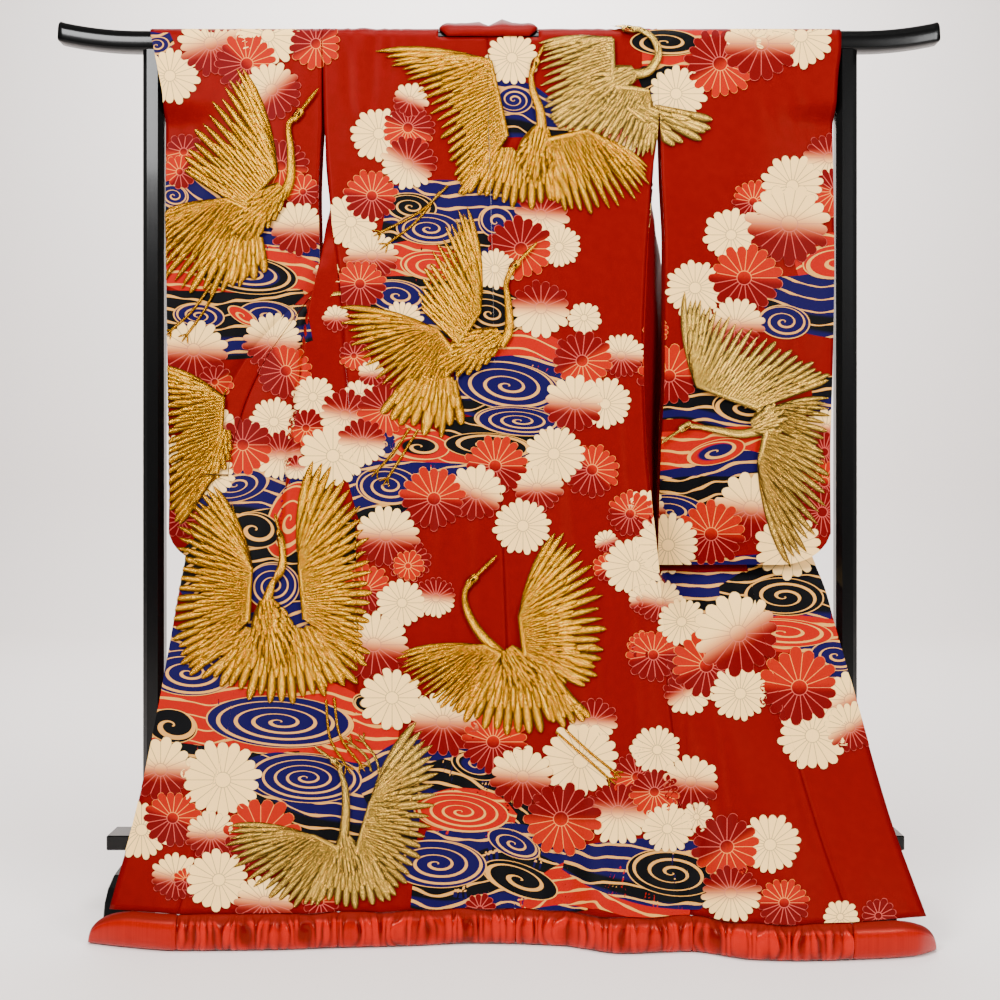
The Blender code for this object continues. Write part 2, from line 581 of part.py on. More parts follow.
def sleeve(name, table, side, cloth):
    """A long sleeve: one ring of cloth over the rail, sewn at the bottom and on its edge below the cuff."""
    share = np.linspace(0.0, 1.0, SLEEVE_COLUMNS + 1)
    closed_row = len(CROWN_ANGLES) + SLEEVE_ROWS.index(CUFF_BOTTOM)
    skins = []
    for skin in (1.0, -1.0):
        sides = []
        for layer in (-1.0, 1.0):
            rows = []
            for angle in CROWN_ANGLES:
                turn = math.radians(angle)
                radius = OVER_RAIL + skin * SLEEVE_CLOTH / 2
                z = RAIL_ROUND + OVER_RAIL * math.cos(turn)
                x = sleeve_x(table, z, share, skin, side)
                y = np.full_like(x, layer * radius * math.sin(turn))
                rows.append(np.stack([x, y, np.full_like(x, RAIL_ROUND + radius * math.cos(turn))], axis=1))
            for z in SLEEVE_ROWS + SLEEVE_LOWER_ROWS:
                level = z + corner_rise(share, z)
                if z <= SLEEVE_BOTTOM:
                    level = level + (SLEEVE_CLOTH if skin < 0 else 0.0)
                x = sleeve_x(table, z, share, skin, side)
                half = curve_through(SLEEVE_DEPTH, 1, level)
                middle = curve_through(SLEEVE_DEPTH, 2, level)
                sewn = ease((share - NARROW_FROM) / (1.0 - NARROW_FROM))
                sewn = sewn * ease((NARROW_HIGH - z) / NARROW_DROP)
                narrow = 1.0 - sewn * (1.0 - SEWN_HALF / half)
                y = middle + layer * (half * narrow + skin * SLEEVE_CLOTH / 2)
                rows.append(np.stack([x, y, level], axis=1))
            sides.append(np.stack(rows))
        near, far = sides
        skins.append(np.concatenate([near[::-1], far[1:]]))
    outer, inner = skins
    ring, across = outer.shape[:2]
    last_row = (ring + 1) // 2 - 1
    count = ring * across
    index = np.arange(count).reshape(ring, across)
    faces = []
    for k in range(ring):
        n = (k + 1) % ring
        for i in range(across - 1):
            a, b, c, d = index[k, i], index[n, i], index[n, i + 1], index[k, i + 1]
            faces.append((a, b, c, d))
            faces.append((a + count, d + count, c + count, b + count))
        a, b = index[k, 0], index[n, 0]
        faces.append((b, a, a + count, b + count))

    def near_at(row):
        return index[last_row - row, -1]

    def far_at(row):
        return index[last_row + row, -1]

    for row in range(closed_row, last_row):
        a, b, c, d = near_at(row), near_at(row + 1), far_at(row + 1), far_at(row)
        faces.append((a, d, c, b))
        faces.append((a + count, b + count, c + count, d + count))
    a, d = near_at(closed_row), far_at(closed_row)
    faces.append((d, a, a + count, d + count))
    for k in range(last_row - closed_row, last_row + closed_row):
        a, b = index[k, -1], index[k + 1, -1]
        faces.append((a, b, b + count, a + count))
    faces = [tuple(int(v) for v in face) for face in faces]
    if side > 0:
        faces = [face[::-1] for face in faces]
    make_object(name, np.concatenate([outer.reshape(-1, 3), inner.reshape(-1, 3)]), faces, cloth)


def sleeve_x(table, z, share, skin, side):
    """A sleeve row's places along the rail, inner edge first. The inner skin ends one wall short outside."""
    outer = curve_through(table, 1, z) - (side * SLEEVE_CLOTH if skin < 0 else 0.0)
    inner = curve_through(table, 2, z)
    return inner + (outer - inner) * share


def corner_rise(share, z):
    """How much a row near the sleeve's bottom lifts towards the rounded outer corner."""
    into = np.clip((share - CORNER_FROM) / (1.0 - CORNER_FROM), 0.0, 1.0)
    lift = SLEEVE_CORNER * (1.0 - np.sqrt(1.0 - CORNER_ROUND * into**2))
    return lift * ease((CORNER_HIGH - z) / (CORNER_HIGH - SLEEVE_BOTTOM))


def hem_roll(satin):
    """The padded hem roll, one length for each panel, shirred between the two plain ends."""
    for number, name in enumerate(ROLL_NAMES):
        start, end = ROLL_SEAMS[number] + SEAM_GAP / 2, ROLL_SEAMS[number + 1] - SEAM_GAP / 2
        plain = number in (0, len(ROLL_NAMES) - 1)
        gathers = 0 if plain else round((end - start) / GATHER_PITCH)
        stations = PLAIN_STATIONS if plain else 2 * gathers + 1
        share = np.linspace(0.0, 1.0, stations)
        if not plain:
            share = share + PITCH_SHIFT * np.sin(share * math.pi) * np.sin(share * PITCH_WAVES + number)
        x = start + (end - start) * share
        y = curve_through(HEM_LINE, 1, x)
        swell = np.ones(stations)
        if plain:
            swell[0 if number == 0 else -1] = TIP_SWELL
        else:
            waves = np.sin(np.arange(gathers + 1) * PINCH_WAVES + number)
            swell[0::2] = GATHER_PINCH + PINCH_SHIFT * waves
            swell[0] = swell[-1] = END_SWELL
        angles = 2 * math.pi * (np.arange(ROLL_SIDES) + 0.5) / ROLL_SIDES
        ring_y = np.sign(np.cos(angles)) * np.abs(np.cos(angles)) ** ROLL_SQUARE_Y * ROLL_DEEP / 2
        ring_z = np.sign(np.sin(angles)) * np.abs(np.sin(angles)) ** ROLL_SQUARE_Z
        ring_z = ring_z / ring_z.max() * ROLL_TALL / 2
        points = np.empty((stations, ROLL_SIDES, 3))
        points[:, :, 0] = x[:, None]
        points[:, :, 1] = y[:, None] + ring_y * swell[:, None]
        points[:, :, 2] = ROLL_FLOOR + ROLL_TALL / 2 * swell[:, None] + ring_z * swell[:, None]
        last = (stations - 1) * ROLL_SIDES
        faces = [tuple(reversed(range(ROLL_SIDES))), tuple(range(last, last + ROLL_SIDES))]
        for s in range(stations - 1):
            for k in range(ROLL_SIDES):
                n = (k + 1) % ROLL_SIDES
                a, b = s * ROLL_SIDES + k, s * ROLL_SIDES + n
                faces.append((a, b, b + ROLL_SIDES, a + ROLL_SIDES))
        make_object("hem_roll_" + name, points, faces, satin)


def prism(name, outline, axis, start, end, finish, bevel=0.0):
    """A closed outline of (a, b) pairs, counter-clockwise seen from +axis, carried from start to end."""
    count = len(outline)
    points = []
    for at in (start, end):
        for a, b in outline:
            points.append({"x": (at, a, b), "z": (a, b, at)}[axis])
    faces = [tuple(reversed(range(count))), tuple(range(count, 2 * count))]
    for k in range(count):
        n = (k + 1) % count
        faces.append((k, n, n + count, k + count))
    made = make_object(name, points, faces, finish)
    if bevel:
        edge = made.modifiers.new("edge", "BEVEL")
        edge.width = bevel
        edge.segments = 1
        edge.limit_method = "ANGLE"
        edge.angle_limit = math.radians(BEVEL_ANGLE)
    return made


def stand(lacquer):
    """The lacquered stand: feet, crossbar, posts and the rail with its upturned ends."""
    foot_side = [(FOOT_HALF - inset, z) for inset, z in FOOT_SIDE]
    foot_outline = foot_side + [(-y, z) for y, z in reversed(foot_side)]
    crossbar_under = FOOT_TALL + TOUCH
    crossbar_top = crossbar_under + CROSSBAR_TALL
    half = POST_WIDE / 2
    flat = half - POST_CHAMFER
    post_outline = [
        (half, -flat), (half, flat), (flat, half), (-flat, half),
        (-half, flat), (-half, -flat), (-flat, -half), (flat, -half),
    ]
    for side, word in ((-1, "left"), (1, "right")):
        middle = side * POST_X
        ends = middle - FOOT_WIDE / 2, middle + FOOT_WIDE / 2
        prism("stand_foot_" + word, foot_outline, "x", *ends, lacquer, EDGE_BEVEL)
        placed = [(middle + a, b) for a, b in post_outline]
        prism("stand_post_" + word, placed, "z", crossbar_top + TOUCH, RAIL_UNDER - TOUCH, lacquer)
    deep = CROSSBAR_DEPTH / 2
    board = [(-deep, crossbar_under), (deep, crossbar_under), (deep, crossbar_top), (-deep, crossbar_top)]
    prism("stand_crossbar", board, "x", CROSSBAR_LEFT, CROSSBAR_RIGHT, lacquer, EDGE_BEVEL)

    turns = np.linspace(0, math.pi, RAIL_TOP_POINTS)
    top = [(RAIL_HALF_DEPTH * math.cos(t), RAIL_ROUND + RAIL_HALF_DEPTH * math.sin(t)) for t in turns]
    foot_of_rail = [(-RAIL_HALF_DEPTH, RAIL_UNDER + RAIL_EDGE), (-RAIL_HALF_DEPTH + RAIL_EDGE, RAIL_UNDER)]
    section = top + foot_of_rail + [(-y, z) for y, z in reversed(foot_of_rail)]
    left_sweep = [-x for x in reversed(RAIL_SWEEP)]
    stations = [RAIL_LEFT, *left_sweep, -RAIL_STRAIGHT, RAIL_STRAIGHT, *RAIL_SWEEP, RAIL_RIGHT]
    points = []
    for x in stations:
        past = max(0.0, abs(x) - RAIL_STRAIGHT) / (abs(RAIL_LEFT) - RAIL_STRAIGHT)
        for y, z in section:
            rake = 0.0
            if x in (RAIL_LEFT, RAIL_RIGHT):
                rake = RAIL_RAKE * (z - RAIL_UNDER) * math.copysign(1.0, x)
            points.append((x - rake, y, z + RAIL_RISE * past**2))
    count = len(section)
    last = (len(stations) - 1) * count
    faces = [tuple(reversed(range(count))), tuple(last + k for k in range(count))]
    for s in range(len(stations) - 1):
        for k in range(count):
            n = (k + 1) % count
            faces.append((s * count + k, s * count + n, (s + 1) * count + n, (s + 1) * count + k))
    make_object("stand_rail", points, faces, lacquer)


def main():
    for old in list(bpy.data.objects):
        bpy.data.objects.remove(old)
    cloth = material("crimson figured silk", CLOTH_RED, 0.55)
    satin = material("vermilion padded satin", SATIN_RED, 0.35)
    lacquer = material("black lacquered wood", LACQUER, 0.15)
    back, left, right = body(cloth)
    collar(cloth, back, left, right)
    sleeve("sleeve_left", LEFT_SLEEVE, -1, cloth)
    sleeve("sleeve_right", RIGHT_SLEEVE, 1, cloth)
    hem_roll(satin)
    stand(lacquer)


main()
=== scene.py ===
import math

import bpy
import numpy as np
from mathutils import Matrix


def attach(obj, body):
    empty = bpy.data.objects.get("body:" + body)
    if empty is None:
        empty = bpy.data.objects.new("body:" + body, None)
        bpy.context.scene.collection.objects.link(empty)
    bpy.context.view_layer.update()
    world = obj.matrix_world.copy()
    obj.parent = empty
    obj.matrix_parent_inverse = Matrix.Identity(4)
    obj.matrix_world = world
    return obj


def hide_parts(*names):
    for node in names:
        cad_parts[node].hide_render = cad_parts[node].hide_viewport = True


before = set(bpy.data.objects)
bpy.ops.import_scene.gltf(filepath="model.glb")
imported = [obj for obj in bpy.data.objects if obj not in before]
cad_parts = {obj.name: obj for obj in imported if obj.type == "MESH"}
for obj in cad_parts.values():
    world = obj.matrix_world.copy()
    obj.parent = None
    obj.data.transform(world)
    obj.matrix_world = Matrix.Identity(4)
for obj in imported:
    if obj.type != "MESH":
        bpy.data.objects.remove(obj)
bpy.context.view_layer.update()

# Looks of an uchikake wedding kimono hung open on a black lacquered kimono stand.
# The cloth is worked out in a frame with the rail's centre line at y = 0, then moved by RAIL_X and RAIL_Y.
RAIL_X = 0.0020
RAIL_Y = 0.0656

# Camera of the photograph, and the size of its frame in pixels
FRAME_PIXELS = 1000
FOCAL_PIXELS = 1331.0
CAMERA_DISTANCE = 2.6
CAMERA_HEIGHT = 0.81
HORIZON_PIXEL = 480.0
SENSOR = 36.0

# Cloth and rail
WALL = 0.0030
COLLAR_WALL = 0.0050
SEAM_GAP = 0.00005
COLLAR_CLEAR = 0.0012
RAIL_HALF_DEPTH = 0.0190
RAIL_CROWN = 1.6865
RAIL_UNDER = 1.6455
RAIL_LEFT, RAIL_RIGHT = -0.859, 0.855
RAIL_STRAIGHT, RAIL_RISE = 0.700, 0.018
RAIL_LEAN, RAIL_BEVEL = 0.05, 0.0015
# The rail's lower edge, rounded (in from its side, up from its underside)
RAIL_EDGE = ((0.0, 0.004), (0.0015, 0.0012), (0.004, 0.0))
RAIL_ROUND = RAIL_CROWN - RAIL_HALF_DEPTH
OVER_RAIL = RAIL_HALF_DEPTH + WALL / 2 + 0.0004
COLLAR_END = 0.820
SIDE_SEAM_TOP = 1.310
HEM_Z = 0.0622
ROW_STEP = 0.0105
CROWN_STEP = 7.5
COLUMNS = 40
BAND_COLUMNS = 12
NECK_COLUMNS = (28, 52)
FINER = 3
OKUMI_DROP = 0.004

# How far the hanging cloth stands in front of the rail (z, y)
HANG = (
    (1.668, -0.0209), (1.560, -0.0225), (1.450, -0.0250), (1.300, -0.0320), (1.120, -0.0455),
    (0.930, -0.0670), (0.786, -0.0885), (0.600, -0.1235), (0.400, -0.1700), (0.200, -0.2270),
    (HEM_Z, -0.2780),
)
# The hem roll's middle line on the floor (x, y)
HEM_LINE = (
    (-0.722, -0.2668), (-0.644, -0.2900), (-0.552, -0.3070), (-0.395, -0.3030), (-0.280, -0.2920),
    (-0.174, -0.2850), (-0.040, -0.2700), (0.104, -0.2820), (0.210, -0.3210), (0.324, -0.3110),
    (0.427, -0.3500), (0.505, -0.3560), (0.621, -0.3470), (0.704, -0.3330), (0.752, -0.3030),
)
HEM_MIDDLE = -0.278
# Side seams and centre seam of the back (z, left seam, centre seam, right seam)
BACK_SEAMS = (
    (1.690, -0.3450, -0.024, 0.3050), (1.505, -0.3400, -0.022, 0.3060), (1.366, -0.3300, -0.018, 0.2900),
    (1.287, -0.3210, -0.016, 0.2850), (1.196, -0.3090, -0.014, 0.2790), (1.041, -0.2960, -0.010, 0.2725),
    (0.882, -0.2810, -0.004, 0.2750), (0.772, -0.2730, 0.002, 0.2830), (0.627, -0.2670, 0.008, 0.2950),
    (0.412, -0.2620, 0.016, 0.3080), (HEM_Z, -0.2800, 0.026, 0.3290),
)
# Left front (z, side x, side y, crest x, crest y, foot x, foot y, join x, join y, edge x, edge y)
LEFT_FRONT = (
    (1.645, -0.3450, 0.0212, -0.289, 0.0214, -0.232, 0.0214, -0.176, 0.0214, -0.1195, 0.0214),
    (1.560, -0.3450, 0.0235, -0.290, 0.0290, -0.230, 0.0260, -0.180, 0.0330, -0.125, 0.0360),
    (1.450, -0.3440, 0.0260, -0.310, 0.0380, -0.270, 0.0280, -0.232, 0.0420, -0.190, 0.0460),
    (1.360, -0.3330, 0.0060, -0.331, 0.0300, -0.300, 0.0440, -0.272, 0.0520, -0.245, 0.0560),
    (1.300, -0.3225, -0.0320, -0.338, -0.0120, -0.327, 0.0120, -0.318, 0.0340, -0.298, 0.0560),
    (1.240, -0.3150, -0.0365, -0.344, -0.0370, -0.332, -0.0180, -0.334, 0.0040, -0.326, 0.0260),
    (1.208, -0.3100, -0.0390, -0.3500, -0.0500, -0.3370, -0.0350, -0.3385, -0.0230, -0.3380, -0.0100),
    (1.185, -0.3083, -0.0405, -0.3550, -0.0550, -0.3430, -0.0485, -0.3417, -0.0460, -0.3405, -0.0435),
    (1.165, -0.3070, -0.0420, -0.3590, -0.0580, -0.3510, -0.0490, -0.3540, -0.0480, -0.3580, -0.0475),
    (1.145, -0.3050, -0.0435, -0.362, -0.0610, -0.364, -0.0510, -0.368, -0.0500, -0.374, -0.0500),
    (1.120, -0.3030, -0.0455, -0.366, -0.0640, -0.373, -0.0530, -0.382, -0.0530, -0.392, -0.0520),
    (1.030, -0.2950, -0.0545, -0.374, -0.0720, -0.384, -0.0570, -0.417, -0.0580, -0.452, -0.0560),
    (0.930, -0.2855, -0.0670, -0.384, -0.0830, -0.396, -0.0680, -0.442, -0.0690, -0.492, -0.0660),
    (0.820, -0.2760, -0.0830, -0.393, -0.0980, -0.406, -0.0830, -0.455, -0.0840, -0.512, -0.0810),
    (0.700, -0.2700, -0.1030, -0.398, -0.1140, -0.414, -0.1030, -0.450, -0.1040, -0.488, -0.1020),
    (0.600, -0.2665, -0.1235, -0.400, -0.1310, -0.418, -0.1220, -0.447, -0.1220, -0.476, -0.1200),
    (0.400, -0.2620, -0.1700, -0.392, -0.1740, -0.424, -0.1690, -0.456, -0.1680, -0.487, -0.1660),
    (0.200, -0.2680, -0.2270, -0.380, -0.2290, -0.428, -0.2260, -0.478, -0.2240, -0.527, -0.2230),
    (HEM_Z, -0.2800, -0.2780, -0.370, -0.2780, -0.433, -0.2780, -0.495, -0.2780, -0.555, -0.2780),
)
# Free edge of the left collar band and overlap panel (z, x, y)
LEFT_RIM = (
    (1.645, -0.0720, 0.0330), (1.560, -0.0720, 0.0420), (1.450, -0.1380, 0.0540),
    (1.360, -0.1950, 0.0680), (1.300, -0.2620, 0.0820), (1.240, -0.3120, 0.0560),
    (1.208, -0.3330, 0.0180), (1.185, -0.3390, -0.0300), (1.165, -0.3720, -0.0465),
    (1.145, -0.3930, -0.0480), (1.120, -0.4180, -0.0500), (1.030, -0.4940, -0.0560),
    (0.930, -0.5405, -0.0660), (0.820, -0.5620, -0.0800), (0.700, -0.5820, -0.0980),
    (0.600, -0.5980, -0.1140), (0.400, -0.6240, -0.1560), (0.200, -0.6540, -0.2160),
    (HEM_Z, -0.6810, -0.2780),
)
# Right front (z, side x, side y, turn x, turn y, rear x, rear y, join x, join y, edge x, edge y)
RIGHT_FRONT = (
    (1.645, 0.3050, 0.0212, 0.247, 0.0214, 0.189, 0.0214, 0.132, 0.0214, 0.0740, 0.0214),
    (1.560, 0.3055, 0.0235, 0.258, 0.0300, 0.203, 0.0260, 0.145, 0.0330, 0.086, 0.0360),
    (1.450, 0.3040, 0.0260, 0.272, 0.0370, 0.236, 0.0300, 0.196, 0.0440, 0.148, 0.0480),
    (1.360, 0.2940, 0.0060, 0.298, 0.0340, 0.282, 0.0500, 0.252, 0.0570, 0.215, 0.0620),
    (1.300, 0.2860, -0.0320, 0.302, 0.0040, 0.306, 0.0440, 0.286, 0.0680, 0.262, 0.0800),
    (1.240, 0.2820, -0.0365, 0.303, 0.0040, 0.318, 0.0440, 0.322, 0.0700, 0.310, 0.0920),
    (1.150, 0.2765, -0.0430, 0.302, 0.0010, 0.321, 0.0440, 0.346, 0.0680, 0.360, 0.0860),
    (1.040, 0.2725, -0.0535, 0.299, -0.0010, 0.320, 0.0440, 0.366, 0.0590, 0.408, 0.0700),
    (0.880, 0.2750, -0.0740, 0.294, -0.0060, 0.314, 0.0420, 0.395, 0.0540, 0.470, 0.0590),
    (0.820, 0.2795, -0.0830, 0.293, -0.0140, 0.312, 0.0380, 0.402, 0.0510, 0.489, 0.0550),
    (0.760, 0.2838, -0.0925, 0.2905, -0.030, 0.306, 0.0270, 0.398, 0.0460, 0.482, 0.0520),
    (0.680, 0.2905, -0.1075, 0.2955, -0.0560, 0.302, 0.0130, 0.393, 0.0330, 0.480, 0.0400),
    (0.640, 0.2935, -0.1155, 0.3000, -0.0700, 0.304, 0.0050, 0.394, 0.0180, 0.483, 0.0240),
    (0.600, 0.2965, -0.1235, 0.313, -0.1010, 0.339, -0.0480, 0.410, -0.0160, 0.487, -0.0020),
    (0.527, 0.3010, -0.1400, 0.330, -0.1260, 0.372, -0.0960, 0.435, -0.0660, 0.496, -0.0480),
    (0.400, 0.3085, -0.1700, 0.350, -0.1660, 0.392, -0.1540, 0.455, -0.1330, 0.516, -0.1160),
    (0.200, 0.3200, -0.2270, 0.367, -0.2275, 0.414, -0.2240, 0.485, -0.2180, 0.556, -0.2120),
    (HEM_Z, 0.3290, -0.2780, 0.382, -0.2780, 0.434, -0.2780, 0.513, -0.2780, 0.592, -0.2780),
)
# Free edge of the right collar band and overlap panel (z, x, y)
RIGHT_RIM = (
    (1.645, 0.0270, 0.0330), (1.560, 0.0330, 0.0420), (1.450, 0.0960, 0.0560), (1.360, 0.1650, 0.0740),
    (1.300, 0.2140, 0.0940), (1.240, 0.2700, 0.1150), (1.150, 0.3780, 0.1260), (1.040, 0.4480, 0.0980),
    (0.880, 0.5160, 0.0790), (0.820, 0.5420, 0.0680), (0.760, 0.5720, 0.0570), (0.680, 0.6060, 0.0400),
    (0.640, 0.6180, 0.0220), (0.600, 0.6280, -0.0060), (0.527, 0.6400, -0.0370), (0.400, 0.6620, -0.0920),
    (0.200, 0.6950, -0.1960), (HEM_Z, 0.7300, -0.2780),
)
# Collar at a corner of the neck: turn round the rail, the join's inset, the crest's inset, y and z, the rim's
NECK_CORNER = (
    (90.0, 0.0016, 0.022, 0.0270, 1.6690, 0.044, 0.0330, 1.6740),
    (60.0, 0.0016, 0.018, 0.0265, 1.6850, 0.038, 0.0330, 1.6870),
    (30.0, 0.0016, 0.014, 0.0180, 1.6950, 0.033, 0.0290, 1.6960),
    (0.0, 0.0020, 0.013, 0.0040, 1.6990, 0.031, 0.0220, 1.7010),
    (-30.0, 0.0030, 0.016, -0.0090, 1.6970, 0.034, 0.0170, 1.7030),
    (-60.0, 0.0070, 0.023, -0.0160, 1.6920, 0.040, 0.0150, 1.7040),
    (-88.0, 0.0180, 0.032, -0.0185, 1.6890, 0.047, 0.0140, 1.7050),
)
# Collar along the back of the neck (x, crest y, crest z, rim y, rim z)
NECK = (
    (-0.066, -0.0185, 1.6890, 0.0120, 1.7040),
    (-0.041, -0.0185, 1.6890, 0.0100, 1.7060),
    (-0.022, -0.0225, 1.6850, 0.0060, 1.6960),
    (0.004, -0.0185, 1.6910, 0.0090, 1.7110),
    (0.024, -0.0185, 1.6890, 0.0120, 1.7050),
)
NECK_JOIN_Y, NECK_JOIN_Z = -0.0232, 1.6682
# Outer and inner edges of the sleeves (z, outer x, inner x)
LEFT_SLEEVE = (
    (1.690, -0.6810, -0.3454), (1.640, -0.6690, -0.3454), (1.600, -0.6610, -0.3454),
    (1.545, -0.6520, -0.3454), (1.500, -0.6515, -0.3450), (1.450, -0.6515, -0.3475),
    (1.366, -0.6515, -0.3505), (1.240, -0.6500, -0.3480), (0.900, -0.6450, -0.3400),
    (0.773, -0.6430, -0.3370), (0.646, -0.6430, -0.3340),
)
RIGHT_SLEEVE = (
    (1.690, 0.6620, 0.3054), (1.640, 0.6600, 0.3056), (1.600, 0.6550, 0.3060), (1.545, 0.6515, 0.3066),
    (1.486, 0.6480, 0.3100), (1.408, 0.6490, 0.3120), (1.266, 0.6510, 0.3180), (1.042, 0.6480, 0.3180),
    (0.849, 0.6420, 0.3100), (0.736, 0.6420, 0.3070), (0.646, 0.6420, 0.3060),
)
SLEEVE_BOTTOM, SLEEVE_CORNER, SLEEVE_CLOTH, CUFF_BOTTOM = 0.646, 0.075, 0.0025, 1.500
# Half the distance between a sleeve's layers, and their middle line (z, half, middle)
SLEEVE_DEPTH = (
    (1.668, OVER_RAIL, 0.0000), (1.645, 0.0226, 0.0000), (1.600, 0.0228, 0.0000),
    (1.450, 0.0240, -0.0010), (1.200, 0.0250, -0.0040), (0.900, 0.0240, -0.0060),
    (0.760, 0.0180, -0.0090), (0.680, 0.0080, -0.0130), (0.646, 0.0036, -0.0150),
)
# Long soft folds (x at the rail, x at the hem, half width, depth, first height)
FOLDS = (
    (-0.420, -0.610, 0.035, 0.010, 0.55), (-0.330, -0.330, 0.028, 0.009, 0.62),
    (-0.230, -0.200, 0.034, 0.010, 1.20), (-0.140, -0.110, 0.030, 0.007, 0.90),
    (-0.060, -0.020, 0.032, 0.011, 1.30), (0.040, 0.085, 0.030, 0.008, 0.80),
    (0.130, 0.165, 0.034, 0.012, 1.45), (0.215, 0.260, 0.028, 0.010, 1.10),
    (0.330, 0.385, 0.032, 0.013, 0.55), (0.430, 0.480, 0.034, 0.012, 0.48),
    (0.540, 0.640, 0.038, 0.011, 0.40),
)
ROWS = (
    1.645, 1.600, 1.540, 1.480, 1.420, 1.370, 1.335, 1.300, 1.265, 1.235, 1.208, 1.185, 1.165, 1.145,
    1.120, 1.080, 1.030, 0.960, 0.890, 0.820, 0.750, 0.690, 0.640, 0.590, 0.530, 0.460, 0.380, 0.300,
    0.220, 0.145, 0.090, HEM_Z,
)
FRONT_GUIDES = (0.0, 0.2, 0.4, 0.7, 1.0)

# Creases of the cloth (x from, z from, x to, z to, half width, depth). A minus makes a ridge
CREASES = (
    (-0.300, 1.660, -0.288, 1.520, 0.0060, 0.0022), (-0.270, 1.668, -0.262, 1.580, 0.0050, 0.0020),
    (-0.245, 1.668, -0.250, 1.500, 0.0070, 0.0018), (-0.215, 1.668, -0.212, 1.590, 0.0050, 0.0016),
    (-0.285, 1.560, -0.262, 1.505, 0.0050, -0.0015), (-0.300, 1.470, -0.255, 1.455, 0.0045, -0.0014),
    (-0.305, 1.430, -0.240, 1.400, 0.0060, -0.0016), (0.215, 1.668, 0.222, 1.570, 0.0050, 0.0018),
    (0.245, 1.668, 0.240, 1.590, 0.0055, 0.0018), (0.280, 1.660, 0.270, 1.480, 0.0070, 0.0018),
    (0.350, 1.662, 0.345, 1.560, 0.0060, 0.0016), (0.375, 1.662, 0.385, 1.600, 0.0050, 0.0016),
    (0.500, 1.560, 0.560, 1.420, 0.0080, 0.0020), (0.560, 1.600, 0.600, 1.430, 0.0070, -0.0016),
    (0.340, 1.390, 0.620, 1.402, 0.0040, -0.0014), (0.590, 1.560, 0.625, 1.480, 0.0060, 0.0018),
    (-0.600, 1.560, -0.560, 1.300, 0.0090, 0.0016), (-0.470, 1.540, -0.440, 1.200, 0.0110, 0.0016),
    (-0.150, 1.250, -0.120, 0.600, 0.0110, 0.0020), (0.110, 1.300, 0.150, 0.350, 0.0120, -0.0022),
    (0.070, 1.150, 0.095, 0.500, 0.0090, 0.0018), (0.230, 1.200, 0.262, 0.300, 0.0080, 0.0024),
    (-0.225, 1.000, -0.212, 0.250, 0.0100, 0.0018), (-0.060, 0.740, -0.030, 0.080, 0.0090, 0.0020),
    (0.180, 0.620, 0.215, 0.075, 0.0080, 0.0024), (0.330, 0.480, 0.350, 0.075, 0.0070, 0.0026),
    (0.300, 0.300, 0.318, 0.075, 0.0060, -0.0022), (0.398, 0.380, 0.420, 0.070, 0.0090, 0.0022),
    (0.470, 0.560, 0.560, 0.120, 0.0110, 0.0020), (-0.350, 0.560, -0.330, 0.075, 0.0080, 0.0022),
    (-0.440, 0.500, -0.470, 0.075, 0.0090, 0.0018), (-0.520, 0.420, -0.590, 0.080, 0.0090, 0.0016),
    (-0.100, 0.330, -0.090, 0.070, 0.0060, -0.0018), (0.060, 0.300, 0.075, 0.070, 0.0060, -0.0018),
    (0.380, 1.250, 0.430, 0.900, 0.0120, 0.0016), (0.560, 1.300, 0.590, 0.800, 0.0110, 0.0016),
)
# Where the cloth is gathered on the rail (x, half width), and how deep and how close its small ridges are
RAIL_GATHERS = ((-0.255, 0.06), (0.285, 0.10))
GATHERS_DEEP, GATHERS_CLOSE, GATHERS_BEND = 0.0012, 210, 61
# Faint unevenness of the cloth, all over and at the hem (height, cell across, cell down, seed)
UNEVEN = ((0.0009, 0.045, 0.30, 3), (0.0006, 0.022, 0.10, 5))
UNEVEN_HEM = (0.0008, 0.020, 0.08, 8)

# Colours of the cloth, the thread and the stand
CRIMSON, CRIMSON_SHADE = "#680001", "#5C0001"
DEEP_RED = "#5C0002"
ORANGE = "#961400"
CREAM = "#F8CA7C"
ULTRAMARINE = "#0B0238"
STREAM_BLACK = "#020203"
VERMILION = "#960A00"
CREAM_GOLD = "#C58A40"
GREY_LINE = "#8A7658"
PINK_LINE = "#B84A40"
ORANGE_LINE = "#E0823A"
GOLD = "#FFB004"
PALE_GOLD = "#F0C258"
# Painted shade for the gold's grooves, and a painted glint colour for its crests
GOLD_PAINTED_SHADE, GOLD_PAINTED_GLINT = "#341800", "#FFD455"
EYE_BLACK, CROWN_RED = "#120A04", "#8C1010"
LINING, LINING_SHADE = "#840400", "#740300"
# Satin: a painted-highlight colour and a painted-shade colour for its gathers, and a painted shadow for the
# band under the cloth's hem
SATIN_PAINTED_HIGHLIGHT, SATIN_PAINTED_SHADE, SATIN_BAND_SHADOW = "#AC0800", "#580000", "#640200"
LACQUER_BLACK = "#040404"
STUDIO_PALE = "#F0E8E4"

